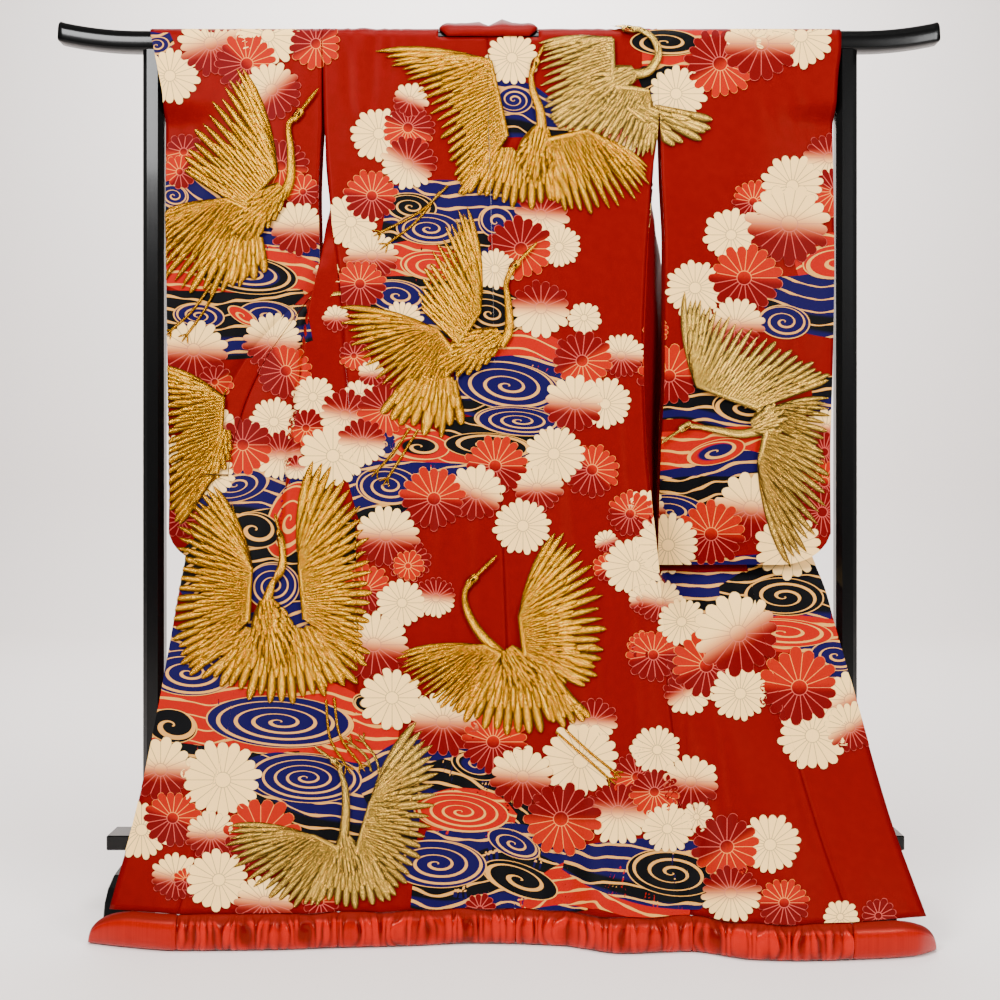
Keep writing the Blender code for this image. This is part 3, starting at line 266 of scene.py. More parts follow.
# Streams: bands of water, each a line of (pixel x, pixel y, half width), with its order of colours
STREAMS = (
    ("blue", ((146, 44, 12), (158, 44, 12), (172, 38, 6))),
    ("blue", ((152, 190, 26), (185, 205, 34), (225, 245, 34), (270, 248, 22), (327, 262, 14))),
    ("red", ((152, 262, 16), (200, 268, 28), (260, 270, 26), (330, 282, 14))),
    ("black", ((152, 320, 30), (205, 325, 34), (255, 325, 32), (308, 315, 26))),
    ("blue", ((186, 505, 20), (232, 495, 30), (275, 500, 36), (310, 520, 34))),
    ("black", ((176, 585, 20), (215, 560, 30), (262, 555, 46), (320, 560, 46), (356, 560, 40))),
    ("blue", ((160, 650, 26), (200, 665, 40), (250, 660, 46), (310, 640, 40), (358, 620, 30))),
    ("red", ((138, 715, 22), (190, 718, 36), (250, 722, 42), (310, 722, 44), (372, 742, 36))),
    ("black", ((128, 752, 14), (190, 762, 18), (260, 775, 22), (300, 775, 24))),
    ("blue", ((232, 778, 14), (270, 785, 34), (310, 800, 44), (360, 808, 44), (420, 815, 44))),
    ("blue", ((494, 108, 28), (520, 110, 28), (552, 120, 20), (600, 124, 12))),
    ("black", ((642, 88, 18), (656, 82, 20), (678, 68, 12))),
    ("blue", ((385, 212, 26), (430, 220, 40), (480, 220, 36), (520, 226, 20))),
    ("red", ((380, 262, 16), (410, 268, 28), (450, 275, 24), (480, 282, 14))),
    ("black", ((366, 300, 22), (410, 300, 24), (480, 315, 32), (530, 330, 20))),
    ("red", ((470, 352, 14), (510, 352, 22), (545, 362, 26), (578, 384, 16))),
    ("blue", ((455, 392, 20), (500, 390, 34), (545, 396, 34), (572, 412, 18))),
    ("black", ((440, 432, 14), (480, 440, 24), (530, 442, 22), (565, 440, 14))),
    ("red", ((376, 436, 22), (410, 446, 24), (450, 454, 16), (490, 460, 8))),
    ("blue", ((353, 500, 34), (390, 490, 30), (430, 482, 20), (476, 476, 12))),
    ("red", ((350, 735, 20), (376, 740, 26), (398, 742, 20))),
    ("blue", ((360, 790, 20), (410, 765, 26), (450, 770, 30), (490, 780, 26))),
    ("black", ((420, 780, 14), (450, 785, 28), (490, 800, 30), (520, 830, 24), (545, 860, 20))),
    ("red", ((425, 812, 16), (455, 812, 24), (490, 815, 22), (515, 822, 8))),
    ("blue", ((420, 850, 20), (460, 862, 36), (505, 856, 34), (560, 862, 26), (600, 880, 12))),
    ("black", ((412, 890, 18), (450, 893, 22), (500, 880, 34), (550, 890, 28), (590, 898, 12))),
    ("red", ((520, 905, 6), (560, 886, 20), (600, 884, 26), (640, 905, 14), (690, 908, 8))),
    ("blue", ((565, 858, 12), (600, 866, 24), (650, 872, 34), (700, 876, 34), (718, 880, 26))),
    ("blue", ((650, 585, 26), (700, 588, 28), (750, 585, 30), (800, 578, 26), (822, 575, 20))),
    ("black", ((720, 600, 14), (760, 598, 34), (800, 598, 38), (832, 600, 38))),
    ("red", ((756, 634, 14), (790, 634, 19), (838, 636, 16))),
    ("blue", ((798, 668, 20), (830, 668, 28), (856, 672, 28))),
    ("red", ((642, 46, 20), (680, 46, 20), (724, 50, 18))),
    ("red", ((796, 268, 24), (820, 262, 28), (842, 262, 30))),
    ("blue", ((764, 290, 14), (800, 302, 28), (842, 306, 34))),
    ("black", ((656, 408, 12), (690, 402, 18), (730, 408, 24), (762, 412, 20))),
    ("red", ((654, 452, 20), (700, 454, 24), (745, 448, 22), (765, 446, 16))),
    ("blue", ((654, 484, 12), (700, 480, 16), (740, 468, 18), (764, 466, 12))),
    ("black", ((654, 504, 22), (690, 500, 24), (730, 492, 16), (764, 484, 8))),
    ("black", ((812, 392, 16), (842, 392, 16))),
    ("blue", ((812, 412, 12), (842, 412, 14))),
)
# Whirls (pixel x, y, half width, half height, tilt, turns, outer colour, inner colour, spin)
WHIRLS = (
    (157, 46, 13, 9, -10, 2.0, "blue", "blue", 1),
    (174, 196, 15, 11, 10, 2.5, "blue", "blue", 1),
    (248, 275, 50, 19, 6, 3.6, "black", "blue", 1),
    (199, 316, 26, 13, 5, 3.0, "blue", "blue", -1),
    (268, 315, 30, 14, 4, 2.4, "blue", "blue", 1),
    (243, 316, 17, 7, 30, 1.4, "red", "red", 1),
    (236, 485, 34, 17, -12, 3.2, "blue", "blue", -1),
    (290, 520, 22, 40, 20, 2.6, "red", "red", 1),
    (255, 530, 26, 18, 10, 1.5, "black", "black", 1),
    (273, 586, 27, 24, 0, 3.6, "blue", "blue", 1),
    (189, 673, 46, 23, 3, 3.2, "blue", "blue", 1),
    (280, 722, 74, 26, 3, 4.2, "blue", "blue", 1),
    (172, 726, 26, 17, 10, 1.2, "black", "black", 1),
    (306, 778, 56, 25, 3, 4.6, "blue", "blue", 1),
    (514, 100, 19, 14, 5, 3.0, "blue", "blue", -1),
    (580, 122, 27, 12, 8, 3.0, "red", "red", 1),
    (411, 207, 26, 14, 6, 2.8, "black", "black", 1),
    (429, 229, 33, 16, 3, 3.2, "blue", "blue", 1),
    (496, 222, 18, 16, 20, 1.8, "blue", "blue", -1),
    (434, 266, 34, 15, 5, 3.0, "red", "red", 1),
    (398, 296, 30, 16, 8, 2.6, "blue", "blue", 1),
    (490, 314, 34, 21, 12, 3.4, "black", "black", 1),
    (508, 386, 52, 24, 8, 3.4, "blue", "blue", 1),
    (520, 421, 46, 15, 4, 3.8, "blue", "blue", 1),
    (488, 446, 44, 13, 3, 2.2, "black", "black", -1),
    (420, 447, 30, 13, 4, 1.8, "red", "black", 1),
    (388, 486, 32, 19, 4, 3.0, "blue", "blue", 1),
    (386, 446, 12, 15, 10, 1.2, "blue", "blue", 1),
    (364, 703, 12, 9, 20, 2.0, "black", "black", 1),
    (476, 766, 26, 13, 18, 2.0, "black", "blue", -1),
    (461, 812, 48, 20, 6, 4.0, "red", "red", 1),
    (437, 864, 50, 24, 3, 3.4, "blue", "blue", 1),
    (514, 844, 28, 13, 22, 2.4, "blue", "blue", 1),
    (520, 880, 40, 16, 20, 1.8, "black", "black", 1),
    (672, 873, 46, 23, 8, 3.0, "black", "black", -1),
    (784, 597, 40, 19, 3, 2.6, "black", "black", -1),
    (783, 633, 50, 14, 3, 2.6, "red", "red", 1),
    (836, 656, 26, 15, 5, 2.4, "blue", "blue", 1),
    (666, 43, 36, 13, 2, 2.2, "black", "black", 1),
    (836, 262, 34, 17, -6, 1.8, "red", "red", 1),
    (784, 322, 26, 17, 6, 2.6, "blue", "blue", 1),
    (744, 408, 32, 15, 8, 1.8, "black", "black", 1),
    (716, 452, 30, 12, -14, 1.6, "red", "blue", 1),
    (672, 512, 38, 18, 6, 2.8, "blue", "blue", 1),
)
# Chrysanthemums (pixel x, y, radius, colours, direction from the first colour to the second in degrees)
MUMS = (
    (182, 164, 13, "red", 90), (170, 76, 29, "cream", 0), (211, 44, 34, "cream red", 75),
    (268, 36, 33, "cream", 0), (247, 64, 31, "orange red", 130), (316, 44, 26, "red orange", 60),
    (272, 90, 30, "cream red", 50), (184, 152, 20, "red orange", 90), (180, 172, 18, "orange red", 40),
    (281, 166, 27, "red orange", 100), (303, 192, 18, "orange red", 60), (299, 229, 28, "cream red", 90),
    (327, 272, 13, "cream red", 90), (194, 350, 33, "cream red", 92), (215, 382, 18, "red orange", 60),
    (169, 451, 16, "cream", 0), (182, 520, 20, "red", 0), (274, 342, 30, "cream red", 96),
    (286, 371, 28, "orange red", 150), (336, 318, 14, "cream red", 90), (313, 397, 22, "cream", 0),
    (360, 397, 18, "cream", 0), (274, 422, 24, "cream", 0), (220, 426, 18, "cream red", 90),
    (281, 455, 26, "red cream", 90), (243, 445, 30, "red orange", 95), (211, 475, 23, "cream", 0),
    (306, 428, 20, "red orange", 90), (345, 415, 26, "red cream", 100), (297, 468, 13, "red cream", 90),
    (333, 456, 33, "cream", 0), (379, 134, 28, "cream", 0), (408, 128, 26, "red orange", 110),
    (410, 100, 18, "cream red", 110), (408, 164, 28, "red cream", 120), (351, 222, 28, "cream", 0),
    (372, 196, 27, "orange red", 100), (372, 256, 27, "cream red", 90), (360, 284, 26, "orange red", 90),
    (401, 322, 22, "cream", 0), (354, 356, 16, "red orange", 80), (372, 374, 14, "cream red", 90),
    (386, 410, 28, "red orange", 90), (363, 442, 25, "red cream", 95), (512, 58, 27, "cream", 0),
    (541, 215, 27, "red cream", 95), (620, 140, 20, "red cream", 95), (559, 247, 22, "cream", 0),
    (521, 249, 33, "red orange", 70), (495, 269, 21, "cream", 0), (541, 308, 30, "red cream", 92),
    (584, 318, 17, "cream", 0), (621, 356, 23, "cream red", 95), (582, 361, 30, "red orange", 60),
    (605, 404, 27, "cream", 0), (575, 404, 30, "cream red", 96), (592, 470, 28, "orange red", 130),
    (554, 454, 30, "cream", 0), (537, 488, 25, "cream red", 90), (495, 466, 31, "orange red", 95),
    (476, 494, 29, "cream red", 110), (434, 499, 33, "orange red", 95), (523, 526, 29, "cream", 0),
    (409, 560, 22, "red", 0), (386, 536, 32, "cream red", 92), (408, 566, 16, "orange", 0),
    (366, 590, 26, "orange red", 90), (436, 598, 21, "red cream", 95), (402, 603, 25, "cream", 0),
    (374, 645, 36, "cream red", 95), (645, 508, 20, "cream red", 90), (630, 514, 24, "orange red", 110),
    (606, 542, 12, "cream red", 70), (608, 568, 15, "orange red", 60), (634, 566, 30, "cream", 0),
    (392, 698, 32, "cream", 0), (443, 722, 35, "cream red", 92), (493, 742, 33, "orange red", 95),
    (593, 722, 24, "red cream", 95), (581, 761, 38, "cream", 0), (523, 777, 32, "cream red", 95),
    (637, 777, 26, "red orange", 100), (618, 812, 33, "red cream", 92), (561, 819, 38, "red orange", 92),
    (480, 909, 16, "red", 0), (644, 600, 16, "cream red", 80), (660, 602, 23, "cream red", 100),
    (643, 645, 15, "orange red", 90), (653, 655, 27, "orange red", 80), (681, 622, 25, "cream", 0),
    (687, 692, 25, "red cream", 60), (706, 666, 35, "orange red", 70), (740, 694, 29, "cream", 0),
    (738, 634, 43, "cream red", 60), (648, 748, 18, "cream", 0), (850, 700, 30, "cream red", 60),
    (812, 736, 36, "cream", 0), (850, 728, 26, "cream red", 60), (799, 688, 40, "orange red", 90),
    (657, 750, 25, "cream", 0), (691, 782, 29, "cream red", 95), (654, 792, 25, "red orange", 90),
    (697, 817, 16, "cream", 0), (667, 829, 26, "cream", 0), (770, 845, 31, "cream", 0),
    (727, 847, 34, "red orange", 60), (784, 903, 26, "orange red", 90), (731, 893, 30, "red cream", 90),
    (840, 917, 18, "cream", 0), (878, 916, 18, "red", 0), (161, 770, 33, "cream red", 92),
    (223, 780, 40, "cream", 0), (142, 830, 30, "cream", 0), (173, 818, 29, "orange red", 110),
    (211, 835, 26, "cream red", 92), (261, 836, 39, "orange red", 95), (176, 878, 25, "cream red", 100),
    (186, 880, 12, "orange red", 90), (219, 880, 32, "cream", 0), (265, 902, 30, "cream red", 95),
    (320, 902, 18, "orange red", 90), (676, 94, 29, "cream", 0), (720, 64, 36, "red orange", 60),
    (747, 42, 22, "cream", 0), (801, 36, 34, "cream", 0), (761, 44, 37, "cream red", 92),
    (829, 158, 27, "red cream", 92), (835, 192, 26, "red orange", 110), (753, 202, 22, "orange red", 100),
    (792, 186, 31, "cream", 0), (731, 235, 27, "cream", 0), (789, 224, 42, "cream red", 95),
    (695, 288, 30, "cream", 0), (744, 278, 36, "orange red", 95), (735, 325, 28, "cream red", 92),
    (669, 376, 32, "orange red", 92), (826, 428, 20, "cream red", 92), (824, 452, 22, "red", 0),
    (824, 482, 24, "orange red", 90), (822, 512, 26, "red", 0), (751, 508, 38, "cream red", 95),
    (711, 534, 34, "orange red", 95), (668, 545, 32, "cream", 0), (790, 547, 34, "cream", 0),
    (656, 330, 13, "orange", 0),
)
# Colours of a chrysanthemum: first petals, last petals, their lines, and how soft the change is
MUM_COLOURS = {
    "cream": (CREAM, CREAM, GREY_LINE, GREY_LINE, 1.0),
    "red": (DEEP_RED, DEEP_RED, PINK_LINE, PINK_LINE, 1.0),
    "orange": (ORANGE, ORANGE, ORANGE_LINE, ORANGE_LINE, 1.0),
    "cream red": (CREAM, DEEP_RED, GREY_LINE, PINK_LINE, 0.80),
    "red cream": (DEEP_RED, CREAM, PINK_LINE, GREY_LINE, 0.80),
    "orange red": (ORANGE, DEEP_RED, ORANGE_LINE, PINK_LINE, 0.30),
    "red orange": (DEEP_RED, ORANGE, PINK_LINE, ORANGE_LINE, 0.30),
}
# Radius of the ring round a flower's middle as a share of the whole, the rings of its mesh and the points to
# a petal, and how red, green and blue fade: green and blue go first, so that the change passes through pink
MUM_RING, MUM_RINGS, PETAL_POINTS = 0.20, 7, 5
FADE_POWERS = (1.0, 1.7, 1.7)
STREAM_COLOURS = {"blue": ULTRAMARINE, "black": STREAM_BLACK, "red": VERMILION}

# Cranes in couched gold. Places are in pixels of the photograph, angles in degrees with 90 pointing down.
# wing: shoulder, wrist, first and last feather angle, first, middle and last length, flight feathers
# fan: centre, half width across, first and last angle, length, feathers
# legs are lines that end in a foot, and a head has its place, its angle and the beak's length
CRANES = (
    dict(
        tone=GOLD, body=((283, 188), (236, 232), 25),
        wings=(
            ((242, 207), (277, 174), -99, -146, 112, 92, 66, 15),
            ((262, 216), (226, 200), 176, 100, 72, 104, 56, 20),
        ),
        fans=(((240, 240), 20, 122, 82, 44, 7),),
        neck=((284, 196), (291, 178), (291, 150), (289, 126)), head=((297, 117), -52, 34),
        legs=(((212, 285), (192, 312), (172, 330)), ((218, 286), (204, 312), (188, 334))),
    ),
    dict(
        tone=GOLD, body=((541, 128), (530, 176), 26),
        wings=(
            ((506, 138), (490, 62), 194, 128, 112, 68, 74, 24),
            ((546, 142), (588, 132), 22, 82, 68, 84, 60, 17),
        ),
        fans=(((526, 150), 34, 118, 70, 58, 13),),
        neck=((542, 134), (540, 112), (533, 92), (531, 76)), head=((534, 67), -66, 22),
        legs=(((448, 186), (420, 212), (382, 232)), ((440, 192), (416, 222), (388, 244))),
    ),
    dict(
        tone=PALE_GOLD, body=((634, 72), (596, 92), 22),
        wings=(
            ((612, 84), (612, 40), 186, 150, 72, 74, 70, 15),
            ((606, 86), (648, 92), 78, 148, 62, 70, 62, 16),
        ),
        fans=(((640, 108), 14, 38, 12, 72, 6),),
        neck=((630, 76), (648, 72), (658, 56), (653, 40), (640, 32)), head=((630, 31), 190, 20),
        legs=(),
    ),
    dict(
        tone=GOLD, body=((500, 334), (444, 366), 27),
        wings=(
            ((458, 344), (480, 312), -88, -134, 106, 84, 52, 16),
            ((452, 352), (436, 330), 202, 98, 100, 76, 84, 22),
        ),
        fans=(((432, 380), 22, 130, 80, 54, 8),),
        neck=((500, 346), (509, 330), (508, 302), (506, 284)), head=((513, 268), -46, 34),
        legs=(((410, 428), (394, 452), (378, 470)), ((418, 430), (402, 456), (388, 478))),
    ),
    dict(
        tone=GOLD, body=((268, 600), (276, 662), 30),
        wings=(
            ((248, 622), (252, 568), -106, -222, 94, 80, 78, 24),
            ((306, 620), (300, 566), -92, 34, 110, 74, 60, 24),
        ),
        fans=(
            ((282, 628), 34, 124, 56, 76, 15),
            ((258, 630), 11, 162, 118, 70, 9),
            ((304, 630), 11, 66, 22, 72, 9),
        ),
        neck=((264, 612), (272, 588), (283, 568), (284, 550)), head=((282, 538), -106, 24),
        legs=(((326, 700), (330, 738), (346, 766)), ((334, 698), (340, 736), (360, 764))),
    ),
    dict(
        tone=GOLD, body=((226, 430), (214, 470), 14),
        wings=(((218, 470), (224, 398), 216, 126, 74, 66, 66, 22),),
        fans=(), neck=(), head=(), legs=(),
    ),
    dict(
        tone=GOLD, body=((506, 650), (528, 684), 27),
        wings=(
            ((526, 656), (520, 616), -76, 26, 92, 84, 68, 20),
            ((500, 656), (484, 646), 184, 124, 86, 82, 68, 17),
        ),
        fans=(
            ((536, 652), 10, 54, -8, 58, 11),
            ((516, 664), 28, 122, 54, 72, 13),
            ((560, 696), 12, 78, 48, 34, 5),
        ),
        neck=((506, 660), (482, 636), (468, 612), (465, 594)), head=((471, 582), -46, 36),
        legs=(((556, 732), (584, 756), (608, 778)), ((566, 730), (592, 754), (614, 772))),
    ),
    dict(
        tone=PALE_GOLD, body=((344, 838), (350, 872), 24),
        wings=(
            ((358, 852), (372, 802), -70, 62, 90, 64, 58, 22),
            ((338, 850), (312, 836), 196, 112, 82, 82, 58, 18),
        ),
        fans=(((350, 862), 24, 112, 66, 46, 10),),
        neck=((343, 846), (346, 812), (345, 788), (341, 774)), head=((338, 765), -142, 30),
        legs=(((372, 772), (366, 756), (352, 744)), ((380, 776), (376, 758), (364, 742))),
    ),
    dict(
        tone=PALE_GOLD, body=((752, 428), (776, 418), 22),
        wings=(
            ((756, 408), (696, 386), -106, -22, 92, 72, 80, 24),
            ((768, 424), (768, 410), -20, 26, 60, 60, 54, 9),
            ((766, 430), (758, 462), 82, 22, 108, 88, 60, 15),
        ),
        fans=(), neck=((762, 430), (740, 434), (716, 430), (698, 427)), head=((686, 426), 146, 34), legs=(),
    ),
)


def shade(code):
    """An sRGB hex colour as linear red, green and blue."""
    parts = np.array([int(code[i : i + 2], 16) / 255 for i in (1, 3, 5)])
    return np.where(parts <= 0.04045, parts / 12.92, ((parts + 0.055) / 1.055) ** 2.4)


def opaque(code):
    """An sRGB hex colour as a shader's colour socket takes it."""
    return (*shade(code), 1)


def from_to(first, last, low, high):
    """Settings of a Map Range node that turns first to last into low to high."""
    return {"From Min": first, "From Max": last, "To Min": low, "To Max": high}


def add(tree, kind, links=(), **settings):
    """Add one node. Settings that name a socket set it, and others set the node.

    Links are (socket, source), where the source is another node's output or a number.
    """
    made = tree.nodes.new("ShaderNode" + kind)
    for name, value in settings.items():
        if name in made.inputs:
            made.inputs[name].default_value = value
        else:
            setattr(made, name, value)
    for socket, source in links:
        if isinstance(source, float):
            made.inputs[socket].default_value = source
        else:
            tree.links.new(source, made.inputs[socket])
    return made


def principled(name, **settings):
    """A new material, its node tree and its Principled node with these socket values."""
    finish = bpy.data.materials.new(name)
    finish.use_nodes = True
    tree = finish.node_tree
    shader = tree.nodes["Principled BSDF"]
    for socket, value in settings.items():
        shader.inputs[socket.replace("_", " ")].default_value = value
    return finish, tree, shader


def weave_bump(tree, shader, strength):
    """Crepe of twisted threads, about a millimetre a grain, as bump. Returns its slow unevenness."""
    place = add(tree, "TexCoord").outputs["Object"]
    crepe = add(tree, "TexNoise", [("Vector", place)], Scale=900.0, Detail=3.0, Roughness=0.65)
    soft = add(tree, "TexNoise", [("Vector", place)], Scale=60.0, Detail=2.0).outputs["Fac"]
    both = add(tree, "Math", [(0, crepe.outputs["Fac"]), (1, soft)], operation="ADD")
    bump = add(tree, "Bump", [("Height", both.outputs[0])], Strength=strength, Distance=0.0006)
    tree.links.new(bump.outputs["Normal"], shader.inputs["Normal"])
    return soft


def silk(name, code, dark_code):
    """Crepe silk, dyed in the piece: a soft red sheen, and a faint unevenness of the dye."""
    finish, tree, shader = principled(
        name, Roughness=0.46, Specular_Tint=(1.0, 0.20, 0.15, 1.0), Specular_IOR_Level=0.16,
    )
    soft = weave_bump(tree, shader, 0.28)
    mix = add(tree, "MixRGB", [("Fac", soft)], Color1=opaque(dark_code), Color2=opaque(code))
    tree.links.new(mix.outputs[0], shader.inputs["Base Color"])
    return finish


def satin():
    """Shirred vermilion satin: painted highlight on its gathers' crests, painted shade between, and a dull band
    at its top with a painted shadow.
    """
    finish, tree, shader = principled(
        "shirred vermilion satin", Roughness=0.26, Specular_Tint=(1.0, 0.26, 0.18, 1.0),
    )
    place = add(tree, "TexCoord").outputs["UV"]
    stretch = add(tree, "Mapping", [("Vector", place)], Scale=(260.0, 3.0, 1.0)).outputs[0]
    noise = add(tree, "TexNoise", [("Vector", stretch)], Scale=1.0, Detail=3.0, Roughness=0.6)
    streaks = noise.outputs["Fac"]
    # Painted light from a point attribute: light on the crests of the gathers and dark in their troughs, plus
    # random streaks
    painted_fold_light = add(tree, "Attribute", attribute_name="painted_fold_light").outputs["Fac"]
    streaks_and_painted_light = add(tree, "Math", [(0, product(tree, streaks, 0.35)), (1, painted_fold_light)], operation="ADD").outputs[0]
    bright = eased(tree, streaks_and_painted_light, 0.15, 1.25, 0.0, 1.0)
    mix = add(tree, "MixRGB", [("Fac", bright)], Color1=opaque(SATIN_PAINTED_SHADE), Color2=opaque(SATIN_PAINTED_HIGHLIGHT))
    # Painted shadow along the roll's top, just under the cloth's hem, over satin that is also rougher and
    # flatter there
    across = add(tree, "SeparateXYZ", [("Vector", place)]).outputs["Y"]
    dull_shadowed_band = eased(tree, across, 0.044, 0.051, 1.0, 0.0)
    with_band_shadow = add(tree, "MixRGB", [("Fac", dull_shadowed_band), ("Color1", mix.outputs[0])], Color2=opaque(SATIN_BAND_SHADOW))
    tree.links.new(with_band_shadow.outputs[0], shader.inputs["Base Color"])
    rough = add(tree, "MapRange", [("Value", dull_shadowed_band)], **from_to(0.0, 1.0, 0.26, 0.75))
    tree.links.new(rough.outputs[0], shader.inputs["Roughness"])
    bump = add(tree, "Bump", [("Height", streaks)], Strength=0.35, Distance=0.0010)
    tree.links.new(bump.outputs["Normal"], shader.inputs["Normal"])
    return finish


def lacquer():
    """Black lacquer on wood, polished: mirror-like, with the faint waviness of hand polishing."""
    finish, tree, shader = principled(
        "polished black lacquer", Base_Color=opaque(LACQUER_BLACK), Roughness=0.20, Specular_IOR_Level=0.15,
        Coat_Weight=0.08, Coat_Roughness=0.06,
    )
    place = add(tree, "TexCoord").outputs["Object"]
    waves = add(tree, "TexNoise", [("Vector", place)], Scale=22.0, Detail=2.0).outputs["Fac"]
    bump = add(tree, "Bump", [("Height", waves)], Strength=0.12, Distance=0.0008)
    tree.links.new(bump.outputs["Normal"], shader.inputs["Normal"])
    return finish


def eased(tree, value, first, last, low, high):
    """A value that goes smoothly from low to high while another goes from first to last."""
    ranges = from_to(first, last, low, high)
    return add(tree, "MapRange", [("Value", value)], interpolation_type="SMOOTHSTEP", **ranges).outputs[0]


def stroke(tree, distance, width, blur):
    """1 on a drawn line, 0 off it: falls from 1 to 0 as the distance in pixels passes the width."""
    return eased(tree, distance, width, width + blur, 1.0, 0.0)


def either(tree, first, second):
    """The larger of two masks."""
    return add(tree, "Math", [(0, first), (1, second)], operation="MAXIMUM").outputs[0]


def product(tree, first, second):
    """One value times another, which may be a number."""
    return add(tree, "Math", [(0, first), (1, second)], operation="MULTIPLY").outputs[0]


def less(tree, first, second):
    """One value less another. Either may be a number."""
    return add(tree, "Math", [(0, first), (1, second)], operation="SUBTRACT").outputs[0]


def to_nearest_whole(tree, value):
    """Distance of a value to the nearest whole number."""
    fraction = add(tree, "Math", [(0, value)], operation="FRACT").outputs[0]
    return add(tree, "Math", [(0, fraction), (1, less(tree, 1.0, fraction))], operation="MINIMUM").outputs[0]


def carried(tree, words):
    """What a motif's points carry: paint and ink are colours, the others numbers."""
    marks = {}
    for word in words:
        made = add(tree, "Attribute", attribute_name=word)
        marks[word] = made.outputs["Color" if word in ("paint", "ink") else "Fac"]
    return marks


def dyed(name):
    """Paste-resist dyeing on silk: flat colour inside, and a fine undyed line where the paste lay."""
    finish, tree, shader = principled(name, Roughness=0.52, Specular_IOR_Level=0.05)
    weave_bump(tree, shader, 0.25)
    return finish, tree, shader, carried(tree, ("paint", "ink", "turn", "reach", "arc", "span"))


def draw(tree, shader, marks, line):
    """Colour a motif with its ink on the line and its paint elsewhere."""
    mix = add(tree, "MixRGB", [("Fac", line), ("Color1", marks["paint"]), ("Color2", marks["ink"])])
    tree.links.new(mix.outputs[0], shader.inputs["Base Color"])


def mum_finish():
    """A chrysanthemum: a line between petals, a ring round its middle, and a line round its edge."""
    finish, tree, shader, marks = dyed("paste dyed chrysanthemums")
    reach, span = marks["reach"], marks["span"]
    between = product(tree, to_nearest_whole(tree, marks["turn"]), marks["arc"])
    outside = add(tree, "Math", [(0, reach), (1, MUM_RING)], operation="GREATER_THAN").outputs[0]
    petals = product(tree, stroke(tree, between, 0.20, 0.35), outside)
    from_ring = add(tree, "Math", [(0, less(tree, reach, MUM_RING))], operation="ABSOLUTE").outputs[0]
    ring = stroke(tree, product(tree, from_ring, span), 0.22, 0.35)
    edge = stroke(tree, product(tree, less(tree, 1.0, reach), span), 0.25, 0.35)
    draw(tree, shader, marks, product(tree, either(tree, either(tree, petals, ring), edge), 0.85))
    return finish


def whirl_finish():
    """A whirl of water: one spiral line, thick on one side and thin on the other, in cream and gold."""
    finish, tree, shader, marks = dyed("paste dyed whirls")
    turns = add(tree, "Math", [(0, marks["arc"]), (1, marks["turn"])], operation="ADD").outputs[0]
    apart = to_nearest_whole(tree, turns)
    wave = add(tree, "Math", [(0, product(tree, marks["turn"], 2 * math.pi))], operation="SINE").outputs[0]
    width = add(tree, "MapRange", [("Value", wave)], **from_to(-1.0, 1.0, 0.055, 0.16)).outputs[0]
    on_line = add(tree, "Math", [(0, apart), (1, width)], operation="LESS_THAN").outputs[0]
    edge = stroke(tree, product(tree, less(tree, 1.0, marks["reach"]), marks["span"]), 0.9, 0.4)
    draw(tree, shader, marks, either(tree, on_line, edge))
    return finish


def stream_finish():
    """Running water: cream and gold lines that follow the band and sway, evenly spaced across it and of uneven
    width.
    """
    finish, tree, shader, marks = dyed("paste dyed streams")
    place = add(tree, "CombineXYZ", [("X", marks["turn"]), ("Y", marks["span"])]).outputs[0]
    drift = add(tree, "TexNoise", [("Vector", place)], Scale=0.022, Detail=1.0).outputs["Fac"]
    wander = product(tree, drift, 1.6)
    across = add(tree, "Math", [(0, marks["arc"]), (1, wander)], operation="ADD").outputs[0]
    apart = to_nearest_whole(tree, across)
    thick = add(tree, "TexNoise", [("Vector", place)], Scale=0.05, Detail=0.0).outputs["Fac"]
    width = add(tree, "MapRange", [("Value", thick)], **from_to(0.3, 0.7, 0.045, 0.13)).outputs[0]
    draw(tree, shader, marks, add(tree, "Math", [(0, apart), (1, width)], operation="LESS_THAN").outputs[0])
    return finish


def gold_finish():
    """Gold-wrapped thread couched over padding: slanting rows from each quill, painted shade between them, and
    painted glints.
    """
    finish, tree, shader = principled("couched gold thread", Metallic=1.0, Roughness=0.27)
    marks = carried(tree, ("paint", "turn", "reach"))
    side = add(tree, "Math", [(0, marks["reach"])], operation="ABSOLUTE").outputs[0]
    along = less(tree, product(tree, marks["turn"], 0.55), product(tree, side, 2.6))
    wave = add(tree, "Math", [(0, product(tree, along, 2 * math.pi))], operation="SINE").outputs[0]
    place = add(tree, "TexCoord").outputs["Object"]
    grain = add(tree, "TexNoise", [("Vector", place)], Scale=700.0, Detail=2.0).outputs["Fac"]
    height = add(tree, "Math", [(0, product(tree, wave, 0.35)), (1, grain)], operation="ADD").outputs[0]
    bump = add(tree, "Bump", [("Height", height)], Strength=0.9, Distance=0.0014)
    tree.links.new(bump.outputs["Normal"], shader.inputs["Normal"])
    # Painted shade: darker towards each feather's edges and in the troughs of the thread's bump
    edge_shade = eased(tree, side, 0.16, 0.94, 0.0, 0.93)
    trough_shade = add(tree, "MapRange", [("Value", height)], **from_to(0.15, 0.85, 0.55, 0.0)).outputs[0]
    painted_shade = either(tree, edge_shade, trough_shade)
    gold_with_painted_shade = add(tree, "MixRGB", [("Fac", painted_shade), ("Color1", marks["paint"])], Color2=opaque(GOLD_PAINTED_SHADE))
    # Painted glints: spots of pale gold along each feather's quill
    glint_noise = add(tree, "TexNoise", [("Vector", place)], Scale=240.0, Detail=1.0).outputs["Fac"]
    crest = product(tree, stroke(tree, side, 0.04, 0.34), eased(tree, glint_noise, 0.42, 0.62, 0.10, 0.95))
    mix = add(tree, "MixRGB", [("Fac", crest), ("Color1", gold_with_painted_shade.outputs[0])], Color2=opaque(GOLD_PAINTED_GLINT))
    tree.links.new(mix.outputs[0], shader.inputs["Base Color"])
    return finish


